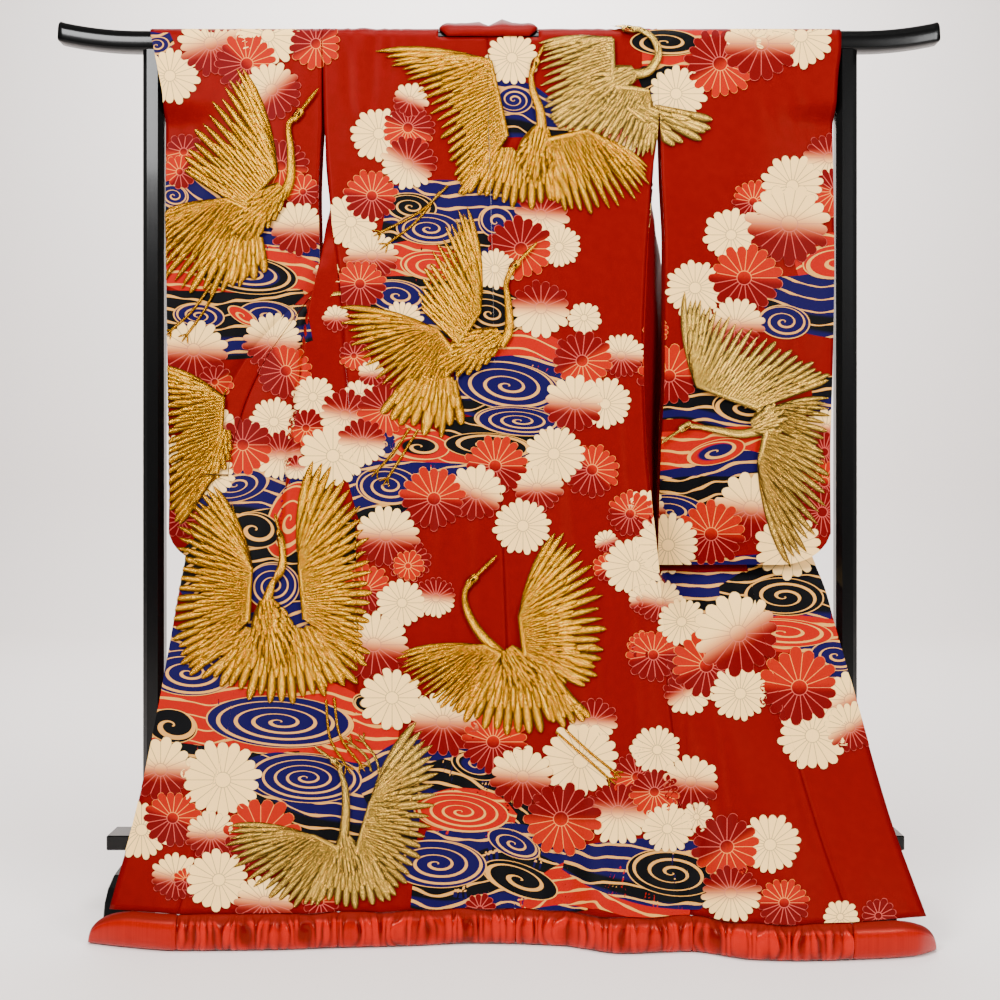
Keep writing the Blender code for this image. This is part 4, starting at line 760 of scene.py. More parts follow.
def monotone_curve(x, y, at):
    """A monotone cubic through (x, y), which never overshoots a point."""
    step = np.diff(x)
    slope = np.diff(y) / step
    same = slope[:-1] * slope[1:] > 0
    first, second = np.where(same, slope[:-1], 1.0), np.where(same, slope[1:], 1.0)
    weight_a, weight_b = 2 * step[1:] + step[:-1], step[1:] + 2 * step[:-1]
    mean = (weight_a + weight_b) / (weight_a / first + weight_b / second)
    tangent = np.concatenate([slope[:1], np.where(same, mean, 0.0), slope[-1:]])
    at = np.clip(np.asarray(at, float), x[0], x[-1])
    i = np.clip(np.searchsorted(x, at) - 1, 0, len(x) - 2)
    t = (at - x[i]) / step[i]
    start = (1 + 2 * t) * (1 - t) ** 2 * y[i] + t * (1 - t) ** 2 * step[i] * tangent[i]
    return start + t * t * (3 - 2 * t) * y[i + 1] + t * t * (t - 1) * step[i] * tangent[i + 1]


def curve_through(table, column, at):
    """A table's column as a smooth curve of its first column."""
    rows = np.array(table, float)
    rows = rows[np.argsort(rows[:, 0])]
    return monotone_curve(rows[:, 0], rows[:, column], at)


def ease(t):
    """0 before 0, 1 after 1, smooth between."""
    t = np.clip(t, 0.0, 1.0)
    return t * t * (3 - 2 * t)


def down(z):
    """How far down the cloth a height is: 0 at the rail, 1 at the hem."""
    return np.clip((RAIL_ROUND - z) / (RAIL_ROUND - HEM_Z), 0.0, 1.0)


def sway(x, z):
    """What the hem's curved line and the long folds add to the cloth's depth."""
    hem = curve_through(HEM_LINE, 1, x) - HEM_MIDDLE
    depth = hem * down(z) ** 3
    for top, bottom, width, deep, first in FOLDS:
        middle = top + (bottom - top) * down(z)
        strength = ease((first - z) / (first - HEM_Z + 0.2))
        depth = depth - deep * strength * np.exp(-(((x - middle) / width) ** 2))
    return depth


def lattice(x, z, cell_x, cell_z, seed):
    """Smooth noise from -1 to 1: random values on a lattice, eased between its corners."""
    values = np.random.default_rng(seed).uniform(-1, 1, (64, 64))
    u, v = x / cell_x + 17.3, z / cell_z + 9.1
    i, j = np.floor(u).astype(int), np.floor(v).astype(int)
    s, t = ease(u - i), ease(v - j)
    corner = [[values[(i + a) % 64, (j + b) % 64] for b in (0, 1)] for a in (0, 1)]
    low = corner[0][0] * (1 - s) + corner[1][0] * s
    high = corner[0][1] * (1 - s) + corner[1][1] * s
    return low * (1 - t) + high * t


def creases(x, z):
    """How far the cloth is pushed out: troughs and ridges along short lines, rail gathers, unevenness."""
    out = np.zeros(np.broadcast(x, z).shape)
    for x0, z0, x1, z1, width, deep in CREASES:
        long_x, long_z = x1 - x0, z1 - z0
        square = long_x**2 + long_z**2
        along = np.clip(((x - x0) * long_x + (z - z0) * long_z) / square, 0, 1)
        gap = (x - x0 - along * long_x) ** 2 + (z - z0 - along * long_z) ** 2
        fade = 0.35 + 0.65 * np.sin(math.pi * np.clip(along, 0.02, 0.98))
        out = out - deep * fade * np.exp(-gap / width**2)
    near_rail = np.exp(-((RAIL_CROWN - z) / 0.055) ** 2)
    gathered = sum(np.exp(-(((x - middle) / width) ** 2)) for middle, width in RAIL_GATHERS)
    ridges = np.sin(x * GATHERS_CLOSE + 2 * np.sin(x * GATHERS_BEND)) + 0.5
    out = out + near_rail * gathered * GATHERS_DEEP * ridges
    for height, cell_x, cell_z, seed in UNEVEN:
        out = out + height * lattice(x, z, cell_x, cell_z, seed)
    height, cell_x, cell_z, seed = UNEVEN_HEM
    at_hem = ease((0.16 - z) / 0.10)
    return out + at_hem * height * lattice(x, z, cell_x, cell_z, seed)


def normals_of(grid):
    """Unit normals of a grid of points, (down the rows) x (along the columns)."""
    along_rows = np.gradient(grid, axis=0, edge_order=2)
    along_columns = np.gradient(grid, axis=1, edge_order=2)
    normal = np.cross(along_rows, along_columns)
    return normal / np.linalg.norm(normal, axis=2, keepdims=True)


def fine_rows():
    """The CAD's rows with more between them, no further apart than ROW_STEP."""
    rows = [RAIL_ROUND]
    for high, low in zip((RAIL_ROUND,) + ROWS[:-1], ROWS):
        rows += list(np.linspace(high, low, math.ceil((high - low) / ROW_STEP) + 1)[1:])
    return np.array(rows[1:])


def crown_rows(x, side):
    """Points over the rail, from its crown to its near side (-1) or far side (+1)."""
    turn = np.radians(np.arange(0.0, 90.0 + CROWN_STEP / 2, CROWN_STEP))
    y = side * np.maximum(OVER_RAIL * np.sin(turn), SEAM_GAP / 2)
    z = RAIL_ROUND + OVER_RAIL * np.cos(turn)
    return [np.stack([x, np.full_like(x, a), np.full_like(x, b)], axis=1) for a, b in zip(y, z)]


HEIGHTS = fine_rows()
CROWN_ROWS = len(crown_rows(np.zeros(1), 1.0))


def back_grid():
    """Both halves of the back, from the left side seam to the right one."""
    share = np.linspace(0.0, 1.0, COLUMNS + 1)

    def across(z):
        left, centre, right = (curve_through(BACK_SEAMS, c, z) for c in (1, 2, 3))
        return np.concatenate([left + (centre - left) * share, centre + (right - centre) * share[1:]])

    rows = crown_rows(across(RAIL_ROUND), -1.0)
    for z in HEIGHTS:
        x = across(z)
        rows.append(np.stack([x, curve_through(HANG, 1, z) + sway(x, z), np.full_like(x, z)], axis=1))
    return np.stack(rows)


def front_grid(table, side):
    """A front from its side edge to the join with the collar and overlap panel. side is -1 left, 1 right."""
    guides = np.array(FRONT_GUIDES)
    share = np.linspace(0.0, 1.0, COLUMNS + 1)
    rows = []
    for z in HEIGHTS:
        x = np.array([curve_through(table, c, z) for c in (1, 3, 5, 7, 9)])
        y = np.array([curve_through(table, c, z) for c in (2, 4, 6, 8, 10)])
        if z <= SIDE_SEAM_TOP:
            x[0] = curve_through(BACK_SEAMS, 1 if side < 0 else 3, z)
            y[0] = curve_through(HANG, 1, z)
        x_row = monotone_curve(guides, x, share)
        y_row = monotone_curve(guides, y, share)
        rows.append(np.stack([x_row, y_row + sway(x_row, z), np.full_like(x_row, z)], axis=1))
    grid = np.stack(crown_rows(rows[0][:, 0], 1.0) + rows)
    return grid[:, ::-1] if side < 0 else grid


def band_grid(front, rim, rows, side):
    """The strip from a front's join to its free edge, columns from left to right."""
    join = front[:, 0] if side < 0 else front[:, -1]
    share = np.linspace(0.0, 1.0, BAND_COLUMNS + 1)
    z = join[rows, 2]
    edge_x = curve_through(rim, 1, z)
    edge = np.stack([edge_x, curve_through(rim, 2, z), z], axis=1)
    edge[:, 1] += np.array([sway(a, b) for a, b in zip(edge_x, z)])
    grid = join[rows][:, None] + (edge - join[rows])[:, None] * share[:, None]
    return grid[:, ::-1] if side < 0 else grid


def pull_in(grid, column, distance):
    """Move a border column along the cloth, away from its neighbour."""
    inner = 1 if column == 0 else -2
    along = grid[:, inner] - grid[:, column]
    grid[:, column] += along / np.linalg.norm(along, axis=1, keepdims=True) * distance


def share_normals(first, at_first, second, at_second):
    """Give two panels the same normals along the seam that they share."""
    mean = first[at_first] + second[at_second]
    mean = mean / np.linalg.norm(mean, axis=1, keepdims=True)
    first[at_first] = mean
    second[at_second] = mean


def cell_faces(rows, columns, keep=None):
    """Corner numbers of a grid's cells, in the order that faces its normal."""
    index = np.arange(rows * columns).reshape(rows, columns)
    cells = np.stack([index[:-1, :-1], index[1:, :-1], index[1:, 1:], index[:-1, 1:]], axis=-1)
    return cells[keep] if keep is not None else cells.reshape(-1, 4)


def build_mesh(name, points, faces, finishes, of_face=None, uv=None):
    """Put points and four-cornered faces in a new object that rides on the root body."""
    mesh = bpy.data.meshes.new(name)
    faces = np.asarray(faces, np.int32)
    mesh.vertices.add(len(points))
    mesh.vertices.foreach_set("co", np.asarray(points, np.float32).ravel())
    mesh.loops.add(faces.size)
    mesh.loops.foreach_set("vertex_index", faces.ravel())
    mesh.polygons.add(len(faces))
    mesh.polygons.foreach_set("loop_start", np.arange(len(faces), dtype=np.int32) * 4)
    for finish in finishes:
        mesh.materials.append(finish)
    if of_face is not None:
        mesh.polygons.foreach_set("material_index", np.asarray(of_face, np.int32))
    mesh.polygons.foreach_set("use_smooth", np.ones(len(faces), bool))
    if uv is not None:
        layer = mesh.uv_layers.new(name="cloth")
        layer.data.foreach_set("uv", np.asarray(uv, np.float32)[faces.ravel()].ravel())
    mesh.update(calc_edges=True)
    mesh.validate()
    made = bpy.data.objects.new(name, mesh)
    bpy.context.scene.collection.objects.link(made)
    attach(made, "root")
    return made


def flat_places(grid):
    """A grid's places on the flat cloth: metres across its columns and down its rows."""
    across, down_rows = np.zeros(grid.shape[:2]), np.zeros(grid.shape[:2])
    across[:, 1:] = np.cumsum(np.linalg.norm(np.diff(grid, axis=1), axis=2), axis=1)
    down_rows[1:] = np.cumsum(np.linalg.norm(np.diff(grid, axis=0), axis=2), axis=0)
    return np.stack([across, down_rows], axis=2).reshape(-1, 2)


def shell(name, grid, normal, finishes, thickness, cut=None):
    """A closed wall of cloth centred on the grid: outer skin, inner skin and a rim round every open edge."""
    rows, columns = grid.shape[:2]
    count = rows * columns
    outer = (grid + normal * thickness / 2).reshape(-1, 3)
    inner = (grid - normal * thickness / 2).reshape(-1, 3)
    keep = np.ones((rows - 1, columns - 1), bool) if cut is None else ~cut
    cells = cell_faces(rows, columns, keep)
    start = cells.ravel()
    end = np.roll(cells, -1, axis=1).ravel()
    alone = ~np.isin(start * count + end, end * count + start)
    rim = np.stack([end[alone], start[alone], start[alone] + count, end[alone] + count], axis=1)
    faces = np.concatenate([cells, cells[:, ::-1] + count, rim])
    of_face = np.repeat([0, 1, 0], [len(cells), len(cells), len(rim)])
    used, place = np.unique(faces, return_inverse=True)
    uv = np.tile(flat_places(grid), (2, 1))
    points = np.concatenate([outer, inner]) + (RAIL_X, RAIL_Y, 0.0)
    return build_mesh(name, points[used], place.reshape(-1, 4), finishes, of_face, uv[used])


def smooth_line(points, steps):
    """A Catmull-Rom line through points, with steps between each two. Each column is carried along."""
    points = np.array(points, float)
    padded = np.concatenate([2 * points[:1] - points[1:2], points, 2 * points[-1:] - points[-2:-1]])
    t = np.linspace(0, 1, steps, endpoint=False)[:, None]
    parts = []
    for a, b, c, d in zip(padded, padded[1:], padded[2:], padded[3:]):
        square = (2 * a - 5 * b + 4 * c - d) * t**2
        cube = (3 * b - a - 3 * c + d) * t**3
        parts.append(0.5 * (2 * b + (c - a) * t + square + cube))
    return np.concatenate(parts + [points[-1:]])


def refine(grid):
    """A grid with more points between its own, on smooth curves down its rows and along its columns."""
    rows, columns, depth = grid.shape
    tall = smooth_line(grid.reshape(rows, -1), FINER).reshape(-1, columns, depth)
    wide = smooth_line(tall.swapaxes(0, 1).reshape(columns, -1), FINER)
    return wide.reshape(-1, len(tall), depth).swapaxes(0, 1)


def to_pixels(points):
    """Where the photograph's camera sees points of the part's frame."""
    depth = points[..., 1] - RAIL_Y + CAMERA_DISTANCE
    px = FRAME_PIXELS / 2 + FOCAL_PIXELS * (points[..., 0] - RAIL_X) / depth
    py = HORIZON_PIXEL - FOCAL_PIXELS * (points[..., 2] - CAMERA_HEIGHT) / depth
    return px, py


def make_chart(skin, normal, piece):
    """A panel's outer skin, ready for motifs: its points and normals, finer ones, and each point's pixel."""
    px, py = to_pixels(skin)
    dense = {"skin": refine(skin), "normal": refine(normal)}
    return {"skin": skin, "normal": normal, "px": px, "py": py, "piece": piece, "dense": dense}


def rows_of(chart, first, last, turned=False):
    """A chart of some rows, its columns in reverse where the outer side faces away from the camera."""
    skin, normal = chart["skin"][first:last], chart["normal"][first:last]
    if turned:
        skin, normal = skin[:, ::-1], normal[:, ::-1]
    return make_chart(skin, normal, chart["piece"])


def reach_index(values, target):
    """Where rising rows of values reach a target, as a fractional index for each row."""
    last = values.shape[1] - 2
    k = np.clip((values < target[:, None]).sum(axis=1) - 1, 0, last)
    n = np.arange(len(target))
    low, high = values[n, k], values[n, k + 1]
    return k + (target - low) / np.maximum(high - low, 1e-9)


def locate(chart, px, py):
    """The panel's fractional row and column that the camera sees at each pixel, by turns along each."""
    rows, columns = chart["px"].shape
    column = np.full(len(px), (columns - 1) / 2.0)
    for _ in range(7):
        inside = np.clip(column, 0, columns - 1 - 1e-6)
        c = inside.astype(int)
        part = (inside - c)[:, None]
        heights = chart["py"][:, c].T * (1 - part) + chart["py"][:, c + 1].T * part
        row = reach_index(heights, py)
        inside = np.clip(row, 0, rows - 1 - 1e-6)
        r = inside.astype(int)
        part = (inside - r)[:, None]
        widths = chart["px"][r] * (1 - part) + chart["px"][r + 1] * part
        column = reach_index(widths, px)
    return row, column


def on_panel(chart, row, column):
    """The panel's point and its normal at a fractional row and column."""
    rows, columns = chart["px"].shape
    r, c = np.clip(row, 0, rows - 1 - 1e-6) * FINER, np.clip(column, 0, columns - 1 - 1e-6) * FINER
    i, j = r.astype(int), c.astype(int)
    s, t = (r - i)[:, None], (c - j)[:, None]

    def blend(values):
        top = values[i, j] * (1 - t) + values[i, j + 1] * t
        bottom = values[i + 1, j] * (1 - t) + values[i + 1, j + 1] * t
        return top * (1 - s) + bottom * s

    out = blend(chart["dense"]["normal"])
    return blend(chart["dense"]["skin"]), out / np.linalg.norm(out, axis=1, keepdims=True)


# What each point of a motif carries, each face of it, and the numbers and colours among these
POINT_NUMBERS = ("px", "py", "lift", "turn", "reach", "arc", "span")
POINT_COLOURS = ("paint", "ink")


def new_design():
    """An empty set of motifs: a list of arrays for each thing that their points and faces carry."""
    return {word: [] for word in POINT_NUMBERS + POINT_COLOURS + ("faces", "finish")} | {"count": 0}


def add_motif(design, px, py, lift, paint, ink, turn, reach, arc, span, finish):
    """Add one motif, a grid of points in pixels, to a design."""
    shape = px.shape
    for word, values in zip(POINT_NUMBERS, (px, py, lift, turn, reach, arc, span)):
        design[word].append(np.broadcast_to(values, shape).ravel())
    for word, values in zip(POINT_COLOURS, (paint, ink)):
        design[word].append(np.broadcast_to(values, (*shape, 3)).reshape(-1, 3))
    faces = cell_faces(*shape) + design["count"]
    design["faces"].append(faces)
    design["finish"].append(np.full(len(faces), finish))
    design["count"] += shape[0] * shape[1]


def lay_on(chart, name, design, finishes, mirror_about=None):
    """Lay a design on a panel: find each point's place, drop what misses the panel, and turn all outwards."""
    px, py = np.concatenate(design["px"]), np.concatenate(design["py"])
    if mirror_about is not None:
        px = 2 * mirror_about - px
    faces = np.concatenate(design["faces"])
    finish = np.concatenate(design["finish"])
    low_x, high_x = chart["px"].min() - 1, chart["px"].max() + 1
    low_y, high_y = chart["py"].min() - 1, chart["py"].max() + 1
    near = (px > low_x) & (px < high_x) & (py > low_y) & (py < high_y)
    keep = near[faces].any(axis=1)
    faces, finish = faces[keep], finish[keep]
    if not len(faces):
        return None
    used, place = np.unique(faces, return_inverse=True)
    faces = place.reshape(-1, 4)
    row, column = np.empty(len(used)), np.empty(len(used))
    for first in range(0, len(used), 8000):
        part = slice(first, first + 8000)
        row[part], column[part] = locate(chart, px[used[part]], py[used[part]])
    rows, columns = chart["px"].shape
    inside = (row > 0) & (row < rows - 1) & (column > 0) & (column < columns - 1)
    points, outward = on_panel(chart, row, column)
    points = points + outward * np.concatenate(design["lift"])[used][:, None]
    a, b, c, d = (points[faces[:, k]] for k in range(4))
    facing = np.cross(c - a, d - b)
    good = inside[faces].any(axis=1) & (np.linalg.norm(facing, axis=1) > 2e-9)
    turned = (facing * outward[faces[:, 0]]).sum(axis=1) < 0
    faces[turned] = faces[turned][:, ::-1]
    faces, finish = faces[good], finish[good]
    if not len(faces):
        return None
    kept, place = np.unique(faces, return_inverse=True)
    made = build_mesh(name, points[kept], place.reshape(-1, 4), finishes, finish)
    for word in ("turn", "reach", "arc", "span"):
        layer = made.data.attributes.new(word, "FLOAT", "POINT")
        layer.data.foreach_set("value", np.concatenate(design[word])[used][kept].astype(np.float32))
    for word in ("paint", "ink"):
        colours = np.concatenate([np.concatenate(design[word])[used][kept], np.ones((len(kept), 1))], axis=1)
        layer = made.data.attributes.new(word, "FLOAT_COLOR", "POINT")
        layer.data.foreach_set("color", colours.astype(np.float32).ravel())
    return made


def ribbon(line, columns):
    """A strip along a line of (x, y, half width): its pixels, how far along and how far across, -1 to 1."""
    ahead = np.gradient(line[:, :2], axis=0)
    ahead = ahead / np.maximum(np.linalg.norm(ahead, axis=1, keepdims=True), 1e-9)
    side = np.stack([-ahead[:, 1], ahead[:, 0]], axis=1)
    across = np.linspace(-1, 1, columns)
    place = line[:, None, :2] + side[:, None] * (line[:, 2][:, None] * across)[..., None]
    along = np.concatenate([[0], np.cumsum(np.linalg.norm(np.diff(line[:, :2], axis=0), axis=1))])
    shape = (len(line), columns)
    along = np.broadcast_to(along[:, None], shape)
    return place[..., 0], place[..., 1], along, np.broadcast_to(across, shape)


# Heights of the motifs over the silk, and the step from one to another that overlaps it
STREAM_LIFT, WHIRL_LIFT, MUM_LIFT, GOLD_LIFT = 0.00025, 0.00125, 0.00160, 0.00285
LAYER = 0.000065
# Lines of a stream to a pixel across it
LINES_ACROSS = 0.078


def touches(first, second):
    """Whether two shapes, each a list of circles (x, y, radius), overlap."""
    return any(math.hypot(a[0] - b[0], a[1] - b[1]) < (a[2] + b[2]) * 0.95 for a in first for b in second)


def layers_of(shapes):
    """A layer for each shape: one more than any earlier shape that it overlaps."""
    layers = []
    for n, shape in enumerate(shapes):
        layers.append(max((layers[m] for m in range(n) if touches(shape, shapes[m])), default=-1) + 1)
    return layers


def add_streams(design):
    """Bands of water. Line spacing follows the band's width: value = across x width x lines a pixel."""
    layers = layers_of([smooth_line(points, 3) for _, points in STREAMS])
    for number, (layer, (colour, points)) in enumerate(zip(layers, STREAMS)):
        line = smooth_line(points, 14)
        px, py, along, across = ribbon(line, 21)
        width = line[:, 2][:, None]
        paint = np.broadcast_to(shade(STREAM_COLOURS[colour]), (*px.shape, 3)).copy()
        if colour != "red":
            strip = (across > 0.35) & (across < 0.85)
            paint[strip] = shade(STREAM_COLOURS["black" if colour == "blue" else "blue"])
        add_motif(
            design, px, py, STREAM_LIFT + layer * LAYER, paint, shade(CREAM_GOLD), along, across,
            across * width * LINES_ACROSS + number * 0.37, width + number * 90.0, 0,
        )


def disc(x, y, half_wide, half_tall, tilt, rings, sectors, edge=1.0):
    """A round motif as a grid of rings and sectors. edge scales the radius at each sector."""
    turn = np.linspace(0, 2 * math.pi, sectors + 1)
    reach = np.linspace(0, 1, rings + 1) ** 0.9
    reach[0] = 0.002
    out = reach[:, None] * (1 + (edge - 1) * reach[:, None] ** 2)
    u, v = half_wide * out * np.cos(turn), half_tall * out * np.sin(turn)
    lean = math.radians(tilt)
    px = x + u * math.cos(lean) - v * math.sin(lean)
    py = y + u * math.sin(lean) + v * math.cos(lean)
    return px, py, np.broadcast_to(turn, px.shape), np.broadcast_to(reach[:, None], px.shape), u, v


def add_whirls(design):
    """Elliptical whirls. The spiral is where reach x turns + angle is a whole number."""
    layers = layers_of([[(x, y, wide * 0.8)] for x, y, wide, *_ in WHIRLS])
    for layer, (x, y, wide, tall, tilt, turns, outer, inner, spin) in zip(layers, WHIRLS):
        rings, sectors = max(10, int(wide / 2.6)), max(48, int(wide * 1.7))
        px, py, turn, reach, _, _ = disc(x, y, wide, tall, tilt, rings, sectors)
        paint = np.broadcast_to(shade(STREAM_COLOURS[outer]), (*px.shape, 3)).copy()
        paint[reach < 0.62] = shade(STREAM_COLOURS[inner])
        add_motif(
            design, px, py, WHIRL_LIFT + layer * LAYER, paint, shade(CREAM_GOLD),
            turn / (2 * math.pi) * spin, reach, reach * turns, (wide + tall) / 2, 1,
        )


def add_mums(design):
    """Chrysanthemums with rounded petal tips: the edge is a row of arches, one for each petal."""
    layers = layers_of([[(x, y, r)] for x, y, r, _, _ in MUMS])
    for number, (layer, (x, y, radius, kind, direction)) in enumerate(zip(layers, MUMS)):
        petals = 16 + (number * 7) % 5 if radius > 20 else 13
        turn = np.linspace(0, 2 * math.pi, petals * PETAL_POINTS + 1)
        phase = turn * petals / (2 * math.pi)
        arch = np.abs(np.cos(phase * math.pi - math.pi / 2)) ** 0.55
        uneven = 1 + 0.05 * np.sin(np.floor(phase) * 2.4 + number) + 0.05 * np.sin(turn + number)
        edge = (0.82 + 0.18 * arch) * uneven
        edge[-1] = edge[0]
        sectors = petals * PETAL_POINTS
        px, py, angle, reach, u, v = disc(x, y, radius, radius * 0.96, 0, MUM_RINGS, sectors, edge)
        first, last, first_line, last_line, softness = MUM_COLOURS[kind]
        lean = math.radians(direction)
        towards = (u * math.cos(lean) + v * math.sin(lean)) / radius
        fade = ease(towards / softness + 0.5)[..., None]
        keep = 1 - fade**FADE_POWERS if last == CREAM else (1 - fade) ** FADE_POWERS
        add_motif(
            design, px, py, MUM_LIFT + layer * LAYER, shade(first) * keep + shade(last) * (1 - keep),
            shade(first_line) * (1 - fade) + shade(last_line) * fade, angle * petals / (2 * math.pi), reach,
            2 * math.pi * radius * reach / petals, radius, 2,
        )


def add_feather(design, root, angle, length, width, lift, rise, tone, pointed=False, curl=0.0, base=0.6):
    """A raised feather of thread.

    Half width = width x (base to 1) x (1 - t^p)^q, and height = rise x half width x (1 - s^2), where t goes
    along it and s across it. curl is how many degrees its tip turns.
    """
    t = np.sin(np.linspace(0, math.pi / 2, 8))[:, None]
    s = np.linspace(-1, 1, 5)[None, :]
    bend = np.radians(angle + curl * t)
    step = np.diff(t, axis=0) * length
    x = root[0] + np.concatenate([[[0.0]], np.cumsum(np.cos(bend[:-1]) * step, axis=0)])
    y = root[1] + np.concatenate([[[0.0]], np.cumsum(np.sin(bend[:-1]) * step, axis=0)])
    spread = base + (1 - base) * t
    half = width * spread * ((1 - t**5) ** 0.85 if pointed else (1 - t**8) ** 0.5)
    half = np.maximum(half, 0.05)
    px = x - np.sin(bend) * half * s
    py = y + np.cos(bend) * half * s
    height = lift + rise * (0.35 + 0.65 * half / width) * (1 - s**2)
    add_motif(design, px, py, height, tone, tone, length * t + 0 * s, s + 0 * t, width, length, 0)


def add_cord(design, line, columns, base, rise, tone):
    """Thread over a padded cord along a line of (x, y, half width): its height is an arch across it."""
    px, py, along, across = ribbon(line, columns)
    height = GOLD_LIFT + base + rise * np.sqrt(1 - across**2 * 0.98)
    add_motif(design, px, py, height, tone, tone, along, across, 1.0, 1.0, 0)


# Rows of a wing's feathers (share of the full length, offset along the arm, height of the row, rise)
WING_ROWS = (
    (1.0, 0.0, 0.0, 0.0025), (0.68, 0.5, 0.0018, 0.0020), (0.47, 0.0, 0.0031, 0.0018),
    (0.31, 0.5, 0.0042, 0.0016), (0.19, 0.0, 0.0051, 0.0014), (0.10, 0.5, 0.0058, 0.0012),
)
# Rows of a fan's feathers (share of the full length, height of the row)
FAN_ROWS = ((1.0, 0.0004), (0.66, 0.0019), (0.40, 0.0032))
# Half a feather's width as a share of the distance to the next one, the least half width, and the step from a
# feather to its neighbour
OVERLAP, THINNEST, FEATHER_STEP = 0.57, 1.9, 0.0002
# A body's half width at places along it, as a share of the whole
BODY_WIDTHS = ((0.0, 0.28), (1 / 3, 0.62), (2 / 3, 0.66), (1.0, 0.25))
SCALE_PITCH = 5


def add_wing(design, wing, tone, number):
    """A wing: flight feathers fanned from wrist to shoulder, then shorter rows that cover their roots."""
    shoulder, wrist, first_angle, last_angle, first, middle, last, feathers = wing
    shoulder, wrist = np.array(shoulder, float), np.array(wrist, float)
    root = np.linalg.norm(shoulder - wrist) / feathers * 1.1
    for row, (share, offset, above, rise) in enumerate(WING_ROWS):
        for k in range(feathers):
            t = min(1.0, (k + offset) / (feathers - 1))
            at = wrist + (shoulder - wrist) * ease((t - 0.15) / 0.85)
            angle = first_angle + (last_angle - first_angle) * t
            length = first * (1 - t) * (1 - 2 * t) + 4 * middle * t * (1 - t) + last * t * (2 * t - 1)
            length *= share * (1 + (0.04 if row == 0 else 0.10) * math.sin(k * 2.3 + number + row * 1.7))
            spread = abs(math.radians(last_angle - first_angle)) * length / feathers
            add_feather(
                design, at, angle, length, max(THINNEST, OVERLAP * (spread + root)),
                GOLD_LIFT + above + (k % 2) * FEATHER_STEP, rise,
                tone * (0.90 + 0.14 * math.sin(k * 1.7 + row * 2.1)), pointed=row == 0 and t < 0.6,
                curl=(20 if last_angle > first_angle else -20) * (1.1 - t),
                base=max(0.30, root / (spread + root)),
            )
    arm = smooth_line([(*wrist, 2.2), (*((wrist + shoulder) / 2), 3.0), (*shoulder, 3.6)], 5)
    add_cord(design, arm, 7, 0.0056, 0.0014, tone)


def add_fan(design, fan, tone, number):
    """A fan of feathers, such as a tail, with shorter rows over its roots."""
    (x, y), half, first_angle, last_angle, length, count = fan
    root = half * 2 / count
    for row, (share, above) in enumerate(FAN_ROWS):
        for k in range(count):
            t = min(1.0, (k + 0.5 * (row % 2)) / max(1, count - 1))
            at = (x + half * (2 * t - 1), y + 2 * math.sin(k * 1.9))
            angle = first_angle + (last_angle - first_angle) * t
            reach = length * share * (1 - 0.18 * abs(2 * t - 1)) * (1 + 0.05 * math.sin(k * 2.7 + number))
            spread = abs(math.radians(last_angle - first_angle)) * reach / count
            add_feather(
                design, at, angle, reach, max(THINNEST, OVERLAP * (root + spread)),
                GOLD_LIFT + above + (k % 2) * FEATHER_STEP, 0.0026,
                tone * (0.90 + 0.14 * math.sin(k * 2.1 + row)), base=max(0.35, root / (root + spread)),
            )


def add_legs(design, legs, tone):
    """Legs as thin cords, each with a foot of three toes."""
    for leg in legs:
        px, py, along, across = ribbon(smooth_line([(x, y, 1.3) for x, y in leg], 8), 5)
        height = GOLD_LIFT + 0.0008 * (1 - across**2)
        add_motif(design, px, py, height, tone * 0.95, tone, along, across, 1.0, 1.0, 0)
        (x, y), foot = leg[-2:]
        heading = math.degrees(math.atan2(foot[1] - y, foot[0] - x))
        for turn in (-38, 0, 38):
            add_feather(design, foot, heading + turn, 10, 1.1, GOLD_LIFT, 0.0007, tone, pointed=True)


def add_body(design, body, tone):
    """A body: a padded spindle under rows of small scale feathers, which arch across it."""
    start, end, half = np.array(body[0], float), np.array(body[1], float), body[2]
    spindle = [(*(start + (end - start) * t), half * share) for t, share in BODY_WIDTHS]
    add_cord(design, smooth_line(spindle, 5), 9, 0.0044, 0.0018, tone)
    length = math.hypot(*(end - start))
    ahead = (end - start) / length
    aside = np.array([-ahead[1], ahead[0]])
    heading = math.degrees(math.atan2(ahead[1], ahead[0]))
    for row in range(int(length / SCALE_PITCH) + 1):
        t = row * SCALE_PITCH / length
        wide = half * 0.62 * math.sin(math.pi * min(0.95, 0.12 + 0.8 * t))
        lanes = max(2, int(wide / 2.6))
        for lane in range(lanes):
            s = (lane + 0.5 * (row % 2)) / lanes * 2 - 1
            at = start + ahead * (row * SCALE_PITCH) + aside * wide * s
            lift = GOLD_LIFT + 0.0050 + 0.0015 * math.sqrt(max(0.0, 1 - s * s)) + 0.00008 * (row % 3)
            bright = tone * (0.94 + 0.08 * math.sin(row + lane))
            add_feather(design, at, heading + 24 * s, 10, 3.3, lift, 0.0009, bright)


def moved(place, angle, ahead, aside=0.0):
    """A pixel place moved ahead along an angle in degrees, and aside from it."""
    turn = math.radians(angle)
    x = place[0] + ahead * math.cos(turn) + aside * math.sin(turn)
    return x, place[1] + ahead * math.sin(turn) - aside * math.cos(turn)


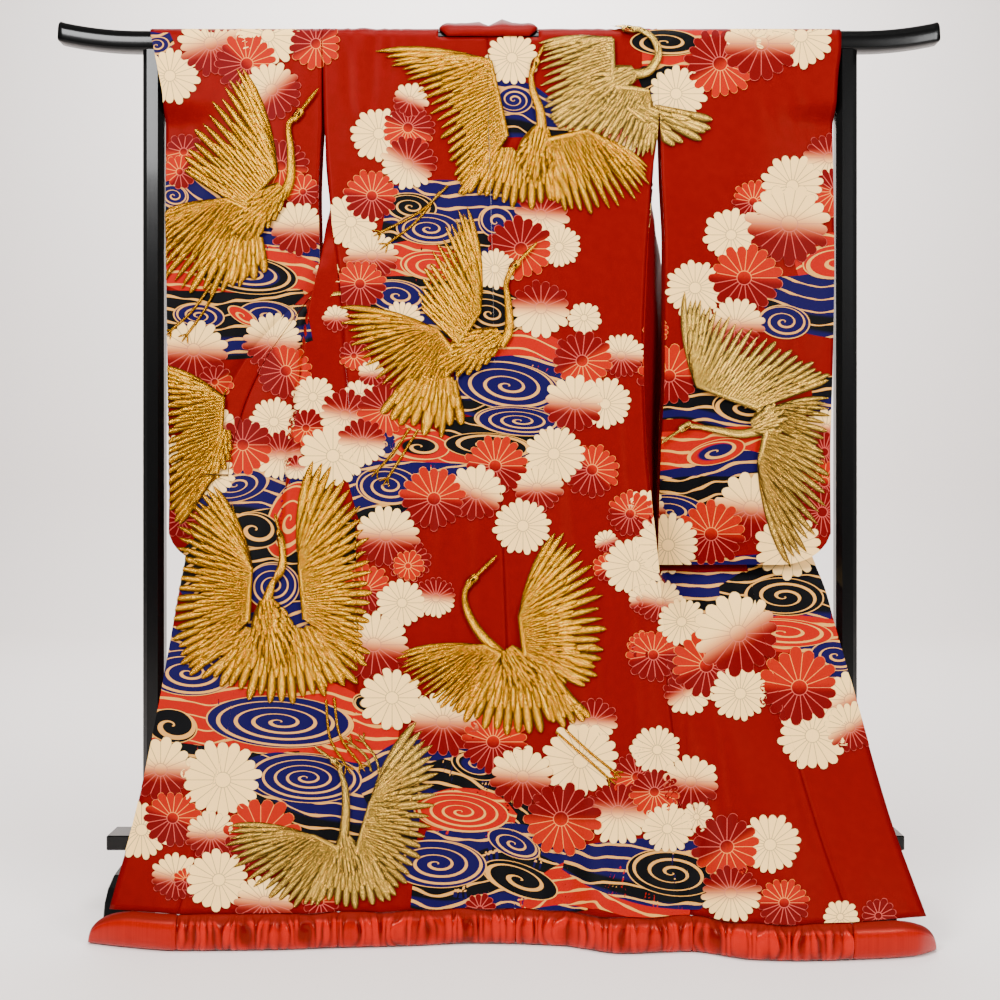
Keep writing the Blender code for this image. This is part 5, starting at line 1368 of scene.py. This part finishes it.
def add_head(design, neck, head, tone):
    """A neck that grows thinner towards the head, the head, its beak, its eye and its red crown."""
    place, angle, beak = head
    widths = np.linspace(5.6, 2.5, len(neck))
    line = smooth_line([(x, y, half) for (x, y), half in zip(neck, widths)] + [(*place, 3.4)], 8)
    add_cord(design, line, 9, 0.0030, 0.0022, tone)
    tip, eye = moved(place, angle, 7), (place[0] + 1, place[1])
    add_feather(design, moved(place, angle, -5), angle, 14, 4.6, GOLD_LIFT + 0.0040, 0.0020, tone)
    add_feather(design, tip, angle, beak - 6, 2.2, GOLD_LIFT + 0.0042, 0.0014, tone * 1.05, pointed=True)
    add_feather(design, eye, angle, 4.2, 1.3, GOLD_LIFT + 0.0062, 0.0006, shade(EYE_BLACK))
    crown = moved(place, angle, -3, 2.5)
    add_feather(design, crown, angle, 9, 2.0, GOLD_LIFT + 0.0052, 0.0008, shade(CROWN_RED))


def add_crane(design, crane, number):
    """A crane in couched gold: legs, wings and fans of feathers, body, neck and head."""
    tone = shade(crane["tone"])
    add_legs(design, crane["legs"], tone)
    for wing in crane["wings"]:
        add_wing(design, wing, tone, number)
    for fan in crane["fans"]:
        add_fan(design, fan, tone, number)
    add_body(design, crane["body"], tone)
    if crane["neck"]:
        add_head(design, crane["neck"], crane["head"], tone)


def body_panels():
    """Grids and normals of the back, the fronts and the overlap panels, with the creases worked in."""
    sewn = CROWN_ROWS + np.flatnonzero(HEIGHTS <= SIDE_SEAM_TOP)
    lower = CROWN_ROWS + np.flatnonzero(HEIGHTS <= COLLAR_END + 1e-6)
    left, right = front_grid(LEFT_FRONT, -1), front_grid(RIGHT_FRONT, 1)
    grids = {
        "back": back_grid(), "front_left": left, "front_right": right,
        "okumi_left": band_grid(left, LEFT_RIM, lower, -1),
        "okumi_right": band_grid(right, RIGHT_RIM, lower, 1),
    }
    normal = {name: normals_of(grid) for name, grid in grids.items()}
    share_normals(normal["back"], (sewn, 0), normal["front_left"], (sewn, -1))
    share_normals(normal["back"], (sewn, -1), normal["front_right"], (sewn, 0))
    share_normals(normal["front_left"], (lower, 0), normal["okumi_left"], (slice(None), -1))
    share_normals(normal["front_right"], (lower, -1), normal["okumi_right"], (slice(None), 0))
    back, back_normal = grids.pop("back"), normal.pop("back")
    panels = {
        "back_left": (back[:, : COLUMNS + 1].copy(), back_normal[:, : COLUMNS + 1]),
        "back_right": (back[:, COLUMNS:].copy(), back_normal[:, COLUMNS:]),
    } | {name: (grid.copy(), normal[name]) for name, grid in grids.items()}
    for name, (grid, out) in panels.items():
        grid += out * creases(grid[..., 0], grid[..., 2])[..., None]
        pull_in(grid, 0, SEAM_GAP)
        pull_in(grid, -1, SEAM_GAP)
        if name.startswith("okumi"):
            grid[0, :, 2] -= OKUMI_DROP
    return panels, left, right


def neck_cut(name, rows):
    """The cells of a back half that the neck opening takes out of the rail's crown."""
    column = np.arange(COLUMNS) + (COLUMNS if name == "back_right" else 0)
    in_neck = (column >= NECK_COLUMNS[0]) & (column < NECK_COLUMNS[1])
    return (np.arange(rows - 1) < CROWN_ROWS - 1)[:, None] & in_neck[None, :]


def neck_corner(neck_x, side):
    """Collar stations round a corner of the neck, from the far side to the near one."""
    radius = RAIL_HALF_DEPTH + COLLAR_WALL / 2 + 0.0014
    stations = []
    for turn, inset, crest_inset, crest_y, crest_z, rim_inset, rim_y, rim_z in NECK_CORNER:
        angle = math.radians(turn)
        join_z = max(RAIL_ROUND + radius * math.cos(angle), NECK_JOIN_Z)
        join = (neck_x - side * inset, radius * math.sin(angle), join_z)
        crest = (neck_x - side * crest_inset, crest_y, crest_z)
        stations.append(np.array([join, crest, (neck_x - side * rim_inset, rim_y, rim_z)]))
    return stations


def band_station(join, rim):
    """Three points across the collar band at a join point's height."""
    z = join[2]
    edge = np.array([curve_through(rim, 1, z), curve_through(rim, 2, z), z])
    edge[1] += sway(edge[0], z)
    return np.stack([join, (join + edge) / 2, edge])


def collar_grid(left, right, neck_left, neck_right):
    """The collar's middle surface: up the left front's edge, round the neck and down the right front's."""
    upper = [CROWN_ROWS + j for j, z in enumerate(HEIGHTS) if COLLAR_END - 1e-6 <= z <= ROWS[0] + 1e-6]
    stations = [band_station(left[j, 0], LEFT_RIM) for j in reversed(upper)]
    stations += neck_corner(neck_left, -1)
    for x, crest_y, crest_z, rim_y, rim_z in NECK:
        stations.append(np.array([(x, NECK_JOIN_Y, NECK_JOIN_Z), (x, crest_y, crest_z), (x, rim_y, rim_z)]))
    stations += reversed(neck_corner(neck_right, 1))
    stations += [band_station(right[j, -1], RIGHT_RIM) for j in upper]
    coarse = np.stack(stations)
    across = np.linspace(0, 2, 9)
    share = across[None, :, None]
    first = coarse[:, :1] * (1 - share) * (2 - share) / 2
    grid = first + coarse[:, 1:2] * share * (2 - share) + coarse[:, 2:] * share * (share - 1) / 2
    return grid


def sleeve_x(table, z, share, skin, side):
    """A sleeve row's places along the rail, inner edge first. The inner skin ends one wall short outside."""
    outer = curve_through(table, 1, z) - (side * SLEEVE_CLOTH if skin < 0 else 0.0)
    return curve_through(table, 2, z) + (outer - curve_through(table, 2, z)) * share


def corner_rise(share, z):
    """How much a row near the sleeve's bottom lifts towards the rounded outer corner."""
    into = np.clip((share - 0.70) / 0.30, 0.0, 1.0)
    lift = SLEEVE_CORNER * (1.0 - np.sqrt(1.0 - 0.96 * into**2))
    return lift * ease((0.830 - z) / (0.830 - SLEEVE_BOTTOM))


def sleeve_heights():
    """Heights of a sleeve's rows below the rail, the cuff's bottom among them."""
    upper = np.linspace(RAIL_ROUND, CUFF_BOTTOM, 17)[1:]
    middle = np.linspace(CUFF_BOTTOM, 0.800, 68)[1:]
    return np.concatenate([upper, middle, np.linspace(0.800, SLEEVE_BOTTOM, 22)[1:]])


def sleeve(name, table, side, finishes):
    """A long sleeve: a ring of cloth over the rail, sewn at its bottom and on its outer edge below the cuff."""
    share = np.linspace(0.0, 1.0, 41)
    heights = sleeve_heights()
    turn = np.radians(np.arange(0.0, 90.0 + CROWN_STEP / 2, CROWN_STEP))
    closed_row = len(turn) + int(np.argmin(np.abs(heights - CUFF_BOTTOM)))
    skins = []
    for skin in (1.0, -1.0):
        layers = []
        for layer in (-1.0, 1.0):
            rows = []
            for angle in turn:
                radius = OVER_RAIL + skin * SLEEVE_CLOTH / 2
                x = sleeve_x(table, RAIL_ROUND + OVER_RAIL * math.cos(angle), share, skin, side)
                y = np.full_like(x, layer * radius * math.sin(angle))
                rows.append(np.stack([x, y, np.full_like(x, RAIL_ROUND + radius * math.cos(angle))], axis=1))
            for z in heights:
                level = z + corner_rise(share, z)
                if z <= SLEEVE_BOTTOM + 1e-6:
                    level = level + (SLEEVE_CLOTH if skin < 0 else 0.0)
                x = sleeve_x(table, z, share, skin, side)
                half = curve_through(SLEEVE_DEPTH, 1, level)
                middle = curve_through(SLEEVE_DEPTH, 2, level)
                narrow = 1.0 - ease((share - 0.55) / 0.45) * (1.0 - 0.0036 / half) * ease((1.545 - z) / 0.045)
                settled = ease((z - 0.70) / 0.08) * ease((0.97 - share) / 0.15)
                worked = creases(x if layer < 0 else x * 0.93 + 0.013, np.full_like(x, z)) * settled
                y = middle + layer * (half * narrow + skin * SLEEVE_CLOTH / 2 + worked)
                rows.append(np.stack([x, y, level], axis=1))
            layers.append(np.stack(rows))
        skins.append(layers)
    near, far = skins[0]
    outer = np.concatenate([near[::-1], far[1:]])
    inner = np.concatenate([skins[1][0][::-1], skins[1][1][1:]])
    ring, across = outer.shape[:2]
    last_row = (ring + 1) // 2 - 1
    count = ring * across
    index = np.arange(count).reshape(ring, across)
    after = np.roll(index, -1, axis=0)
    skin_faces = np.stack([index[:, :-1], after[:, :-1], after[:, 1:], index[:, 1:]], axis=-1).reshape(-1, 4)
    open_edge = np.stack([after[:, 0], index[:, 0], index[:, 0] + count, after[:, 0] + count], axis=1)
    row = np.arange(closed_row, last_row)
    a, b = index[last_row - row, -1], index[last_row - row - 1, -1]
    c, d = index[last_row + row + 1, -1], index[last_row + row, -1]
    sewn = np.stack([a, d, c, b], axis=1)
    step = index[last_row - closed_row, -1], index[last_row + closed_row, -1]
    ledge = np.array([[step[1], step[0], step[0] + count, step[1] + count]])
    k = np.arange(last_row - closed_row, last_row + closed_row)
    cuff = np.stack([index[k, -1], index[k + 1, -1], index[k + 1, -1] + count, index[k, -1] + count], axis=1)
    outside = np.concatenate([skin_faces, sewn, open_edge, ledge, cuff])
    inside = np.concatenate([skin_faces[:, ::-1], sewn[:, ::-1]]) + count
    faces = np.concatenate([outside, inside])
    of_face = np.repeat([0, 1], [len(outside), len(inside)])
    if side > 0:
        faces = faces[:, ::-1]
    points = np.concatenate([outer.reshape(-1, 3), inner.reshape(-1, 3)]) + (RAIL_X, RAIL_Y, 0.0)
    uv = np.tile(flat_places(outer), (2, 1))
    piece = build_mesh(name, points, faces, finishes, of_face, uv)
    charts = []
    for layer, grid in ((-1.0, near), (1.0, far)):
        grid = grid[:, ::-1] if side < 0 else grid
        normal = normals_of(grid)
        normal = normal * -layer * np.sign((normal[..., 1] * -1).mean())
        charts.append(make_chart(grid + (RAIL_X, RAIL_Y, 0.0), normal, piece))
    return piece, charts


# Hem roll: its section, the radius that its round places are measured on, and where its lengths meet
ROLL_TALL, ROLL_DEEP, ROLL_FLOOR, ROLL_RADIUS = 0.0602, 0.038, 0.0008, 0.02
ROLL_SEAMS = (-0.7190, -0.5550, -0.2800, 0.0260, 0.3290, 0.5950, 0.7500)
ROLL_NAMES = ("okumi_left", "front_left", "back_left", "back_right", "front_right", "okumi_right")
# Mean pitch of its gathers, the step between its stations, and the even level of painted light on its plain
# ends
GATHER, ROLL_STEP, PLAIN_PAINTED_LIGHT = 0.0140, 0.0017, 0.58


def roll_gathers(number, x, around):
    """The gathers of a length of the roll, as heights and depths: ridges of uneven pitch, bent and broken."""
    warp = x + 0.011 * lattice(x, around, 0.020, 0.034, 50 + number)
    gathers = np.abs(np.sin(warp * math.pi / GATHER)) ** 0.8 - 1.0
    gathers = gathers + 0.7 * lattice(warp, around, 0.0085, 0.022, 60 + number)
    return gathers, 0.19 + 0.11 * lattice(x, around, 0.03, 0.02, 70 + number)


def hem_roll(number, finish):
    """One length of the roll. Radius = oval x (1 + gathers x depth), less at its seams, floor and top."""
    start, end = ROLL_SEAMS[number] + SEAM_GAP / 2, ROLL_SEAMS[number + 1] - SEAM_GAP / 2
    plain = number in (0, len(ROLL_NAMES) - 1)
    x = np.linspace(start, end, int((end - start) / ROLL_STEP))
    turn = np.linspace(0, 2 * math.pi, 49)
    around = turn[None, :] * ROLL_RADIUS
    y = curve_through(HEM_LINE, 1, x)
    swell = np.ones_like(x)
    if plain:
        share = (x - start) / (end - start)
        from_tip = share if number == 0 else 1 - share
        swell = 0.16 + 0.84 * np.sqrt(np.clip(1 - (1 - np.clip(from_tip / 0.55, 0, 1)) ** 2, 0, 1))
        gathers, depth = 0.5 * lattice(x[:, None], around, 0.030, 0.03, 40 + number), 0.012
    else:
        gathers, depth = roll_gathers(number, x[:, None], around)
    at_ends = np.minimum(1.0, 0.94 + np.minimum(x - start, end - x) / 0.004 * 0.06)[:, None]
    free = np.where(np.sin(turn) < -0.75, 0.35, 1.0)[None, :]
    under_edge = 1 - np.exp(-(((turn - math.pi / 2) / 0.42) ** 2))[None, :]
    low = 0.35 + 0.65 * ease((np.sin(turn) + 0.55) / 0.9)[None, :]
    scale = np.minimum((1 + gathers * depth * free * under_edge * low) * at_ends, 1.03)
    ring_y = np.sign(np.cos(turn)) * np.abs(np.cos(turn)) ** 0.8 * ROLL_DEEP / 2
    ring_z = np.sign(np.sin(turn)) * np.abs(np.sin(turn)) ** 0.9 * ROLL_TALL / 2
    points = np.empty((len(x), len(turn), 3))
    points[..., 0] = x[:, None]
    points[..., 1] = y[:, None] + ring_y * scale * (0.5 + 0.5 * swell)[:, None]
    points[..., 2] = ROLL_FLOOR + ROLL_TALL / 2 * swell[:, None] + ring_z * scale * swell[:, None]
    points[..., 2] += 0.0011 * np.exp(-(((turn - math.pi / 2) / 0.16) ** 2)) * (swell > 0.99)[:, None]
    points[..., 2] = np.maximum(points[..., 2], ROLL_FLOOR)
    points[:, -1] = points[:, 0]
    ends = []
    for at in (0, -1):
        centre = points[at, :-1].mean(axis=0)
        ends.append((centre + (points[at] - centre) * 0.02)[None])
    grid = np.concatenate([ends[0], points, ends[1]])
    rows, columns = grid.shape[:2]
    index = np.arange(rows * columns).reshape(rows, columns)
    index[:, -1] = index[:, 0]
    faces = np.stack([index[:-1, :-1], index[:-1, 1:], index[1:, 1:], index[1:, :-1]], axis=-1).reshape(-1, 4)
    along = np.linspace(0, end - start, rows)[:, None]
    uv = np.stack(np.broadcast_arrays(along, around), axis=-1).reshape(-1, 2)
    points = grid.reshape(-1, 3) + (RAIL_X, RAIL_Y, 0.0)
    piece = build_mesh("padded_roll_" + ROLL_NAMES[number], points, faces, [finish], None, uv)
    # Painted light on the gathers: lighter on their crests and darker in their troughs; the plain ends take one
    # even level
    painted_fold_light = np.full((rows - 2, columns), PLAIN_PAINTED_LIGHT)
    if not plain:
        painted_fold_light = np.clip(0.55 + (gathers + 0.35) * (0.3 + 0.7 * low * under_edge), 0.0, 1.2)
    painted_fold_light = np.concatenate([painted_fold_light[:1], painted_fold_light, painted_fold_light[-1:]])
    layer = piece.data.attributes.new("painted_fold_light", "FLOAT", "POINT")
    layer.data.foreach_set("value", painted_fold_light.ravel().astype(np.float32))
    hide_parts("hem_roll_" + ROLL_NAMES[number])


def rail(finish):
    """The stand's rail, its ends swept up: a half-round top on straight sides, carried along x."""
    left, right = np.linspace(RAIL_LEFT, -RAIL_STRAIGHT, 14), np.linspace(RAIL_STRAIGHT, RAIL_RIGHT, 14)
    x = np.concatenate([left, np.linspace(-0.6, 0.6, 5), right])
    top = np.linspace(0, math.pi, 25)
    into, above = np.array(RAIL_EDGE).T
    sides = [into - RAIL_HALF_DEPTH, RAIL_HALF_DEPTH - into[::-1]]
    section_y = np.concatenate([RAIL_HALF_DEPTH * np.cos(top), *sides])
    rise = RAIL_ROUND + RAIL_HALF_DEPTH * np.sin(top)
    section_z = np.concatenate([rise, RAIL_UNDER + above, RAIL_UNDER + above[::-1]])
    past = np.clip((np.abs(x) - RAIL_STRAIGHT) / (abs(RAIL_LEFT) - RAIL_STRAIGHT), 0, None)
    points = np.empty((len(x), len(section_y), 3))
    points[..., 0] = x[:, None]
    points[..., 1] = section_y
    points[..., 2] = section_z + (RAIL_RISE * past**2)[:, None]
    lean = RAIL_LEAN * (section_z - RAIL_UNDER)
    points[0, :, 0] += lean
    points[-1, :, 0] -= lean
    ends = []
    for at, scale in ((0, 0.02), (0, 0.93), (-1, 0.93), (-1, 0.02)):
        centre = points[at].mean(axis=0)
        ends.append((centre + (points[at] - centre) * scale)[None])
    points[0, :, 0] += RAIL_BEVEL
    points[-1, :, 0] -= RAIL_BEVEL
    grid = np.concatenate([*ends[:2], points, *ends[2:]])
    rows, columns = grid.shape[:2]
    index = np.arange(rows * columns).reshape(rows, columns)
    after = np.roll(index, -1, axis=1)
    faces = np.stack([index[:-1], after[:-1], after[1:], index[1:]], axis=-1).reshape(-1, 4)
    piece = build_mesh("lacquered_rail", grid.reshape(-1, 3) + (RAIL_X, RAIL_Y, 0.0), faces, [finish])
    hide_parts("stand_rail")


def dress(charts, dye, gold, dye_finishes, gold_finishes, suffix="", mirror_about=None):
    """Lay the dyed and the couched designs on panels. Returns the pieces laid on each."""
    laid = {}
    for name, chart in charts.items():
        pieces = []
        for word, design, finishes in (("dyed", dye, dye_finishes), ("couched", gold, gold_finishes)):
            made = lay_on(chart, f"{word}_{name}{suffix}", design, finishes, mirror_about)
            if made is not None:
                pieces.append(made)
        laid[name] = pieces
    return laid


def stage_and_light():
    """A pale floor that turns up into a pale wall, soft lights, and the photograph's camera."""
    turn = np.linspace(0, math.pi / 2, 13)
    y = np.concatenate([[-6.0], 4.4 + 0.8 * np.sin(turn), [5.2]])
    z = np.concatenate([[0.0], 0.8 - 0.8 * np.cos(turn), [6.5]])
    grid = np.stack(np.broadcast_arrays(np.array([-7.0, 7.0])[None, :], y[:, None], z[:, None]), axis=-1)
    finish = principled("pale painted studio", Base_Color=opaque(STUDIO_PALE), Roughness=0.75)[0]
    mesh = bpy.data.meshes.new("studio")
    mesh.from_pydata(grid.reshape(-1, 3).tolist(), [], cell_faces(*grid.shape[:2])[:, ::-1].tolist())
    mesh.materials.append(finish)
    mesh.shade_smooth()
    studio = bpy.data.objects.new("studio", mesh)
    bpy.context.scene.collection.objects.link(studio)
    world = bpy.data.worlds.new("soft studio")
    world.use_nodes = True
    sky = world.node_tree.nodes["Background"].inputs
    sky["Color"].default_value = (1.0, 0.97, 0.95, 1)
    sky["Strength"].default_value = 0.29
    bpy.context.scene.world = world
    # Lights (name, place, where it points, side, power)
    lights = (
        ("key", (-1.7, -2.6, 2.6), (0.0, 0.0, 0.9), 1.1, 172.0),
        ("fill", (2.2, -2.4, 1.8), (0.1, 0.0, 0.8), 1.1, 98.0),
        ("top", (0.2, -0.9, 3.4), (0.0, -0.1, 0.4), 1.4, 95.0),
        ("wall", (0.0, 2.2, 4.6), (0.0, 5.2, 1.6), 2.4, 520.0),
    )
    for word, place, target, size, power in lights:
        data = bpy.data.lights.new(word, "AREA")
        data.shape = "SQUARE"
        data.size = size
        data.energy = power
        lamp = bpy.data.objects.new(word, data)
        bpy.context.scene.collection.objects.link(lamp)
        towards = np.array(target) - np.array(place)
        lamp.location = place
        tilt = math.atan2(math.hypot(towards[0], towards[1]), -towards[2])
        lamp.rotation_euler = (tilt, 0.0, math.atan2(-towards[0], towards[1]))
    data = bpy.data.cameras.new("camera")
    data.sensor_width = SENSOR
    data.lens = SENSOR * FOCAL_PIXELS / FRAME_PIXELS
    data.shift_y = (HORIZON_PIXEL - FRAME_PIXELS / 2) / FRAME_PIXELS
    data.clip_end = 30.0
    camera = bpy.data.objects.new("camera", data)
    camera.location = (RAIL_X, RAIL_Y - CAMERA_DISTANCE, CAMERA_HEIGHT)
    camera.rotation_euler = (math.pi / 2, 0.0, 0.0)
    bpy.context.scene.collection.objects.link(camera)
    bpy.context.scene.camera = camera


# Where the fronts come round into sight, below which the camera looks on their outer side
LEFT_FRONT_SEEN, RIGHT_FRONT_SEEN = 1.146, 0.640


def main():
    """Build the robe, its designs and its stand."""
    stage_and_light()
    ground = silk("crimson crepe silk", CRIMSON, CRIMSON_SHADE)
    lining = silk("vermilion silk lining", LINING, LINING_SHADE)
    vermilion_satin = satin()
    black = lacquer()
    dye_finishes = [stream_finish(), whirl_finish(), mum_finish()]
    gold_finishes = [gold_finish()]
    cloth = [ground, lining]

    panels, left, right = body_panels()
    charts, pieces = {}, {}
    for name, (grid, normal) in panels.items():
        cut = neck_cut(name, len(grid)) if name.startswith("back") else None
        pieces[name] = shell("silk_" + name, grid, normal, cloth, WALL, cut)
        charts[name] = make_chart(grid + normal * WALL / 2 + (RAIL_X, RAIL_Y, 0.0), normal, pieces[name])
    grid = collar_grid(left, right, *back_grid()[0, NECK_COLUMNS, 0])
    normal = normals_of(grid)
    pull_in(grid, 0, COLLAR_CLEAR)
    pieces["collar"] = shell("silk_collar", grid, normal, [ground, ground], COLLAR_WALL)
    skin = grid + normal * COLLAR_WALL / 2 + (RAIL_X, RAIL_Y, 0.0)
    collar = make_chart(skin[::-1, ::-1], normal[::-1, ::-1], pieces["collar"])
    far_charts = {}
    for name, table, side in (("sleeve_left", LEFT_SLEEVE, -1), ("sleeve_right", RIGHT_SLEEVE, 1)):
        pieces[name], (charts[name], far_charts[name]) = sleeve("silk_" + name, table, side, cloth)

    dye, gold = new_design(), new_design()
    add_streams(dye)
    add_whirls(dye)
    add_mums(dye)
    for number, crane in enumerate(CRANES):
        add_crane(gold, crane, number)

    for name, height in (("front_left", LEFT_FRONT_SEEN), ("front_right", RIGHT_FRONT_SEEN)):
        seen_from = CROWN_ROWS + int(np.argmax(HEIGHTS < height))
        far_charts[name] = rows_of(charts[name], CROWN_ROWS, seen_from, turned=True)
        charts[name] = rows_of(charts[name], seen_from, None)
    inner = collar["skin"][:, 0]
    low_rows = np.flatnonzero((inner[:, 2] < LEFT_FRONT_SEEN) & (inner[:, 0] < 0))
    charts["collar"] = rows_of(collar, low_rows[0], low_rows[-1] + 1)
    laid = dress(charts, dye, gold, dye_finishes, gold_finishes)
    for name, chart in far_charts.items():
        middle = FRAME_PIXELS / 2
        if name.startswith("sleeve"):
            middle = (chart["px"].min() + chart["px"].max()) / 2
        laid[name] += dress({name: chart}, dye, gold, dye_finishes, gold_finishes, "_far", middle)[name]

    for name, piece in pieces.items():
        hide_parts(name)
    for number in range(len(ROLL_NAMES)):
        hem_roll(number, vermilion_satin)
    rail(black)
    for part in ("post_left", "post_right", "crossbar", "foot_left", "foot_right"):
        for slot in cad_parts["stand_" + part].material_slots:
            slot.material = black


main()
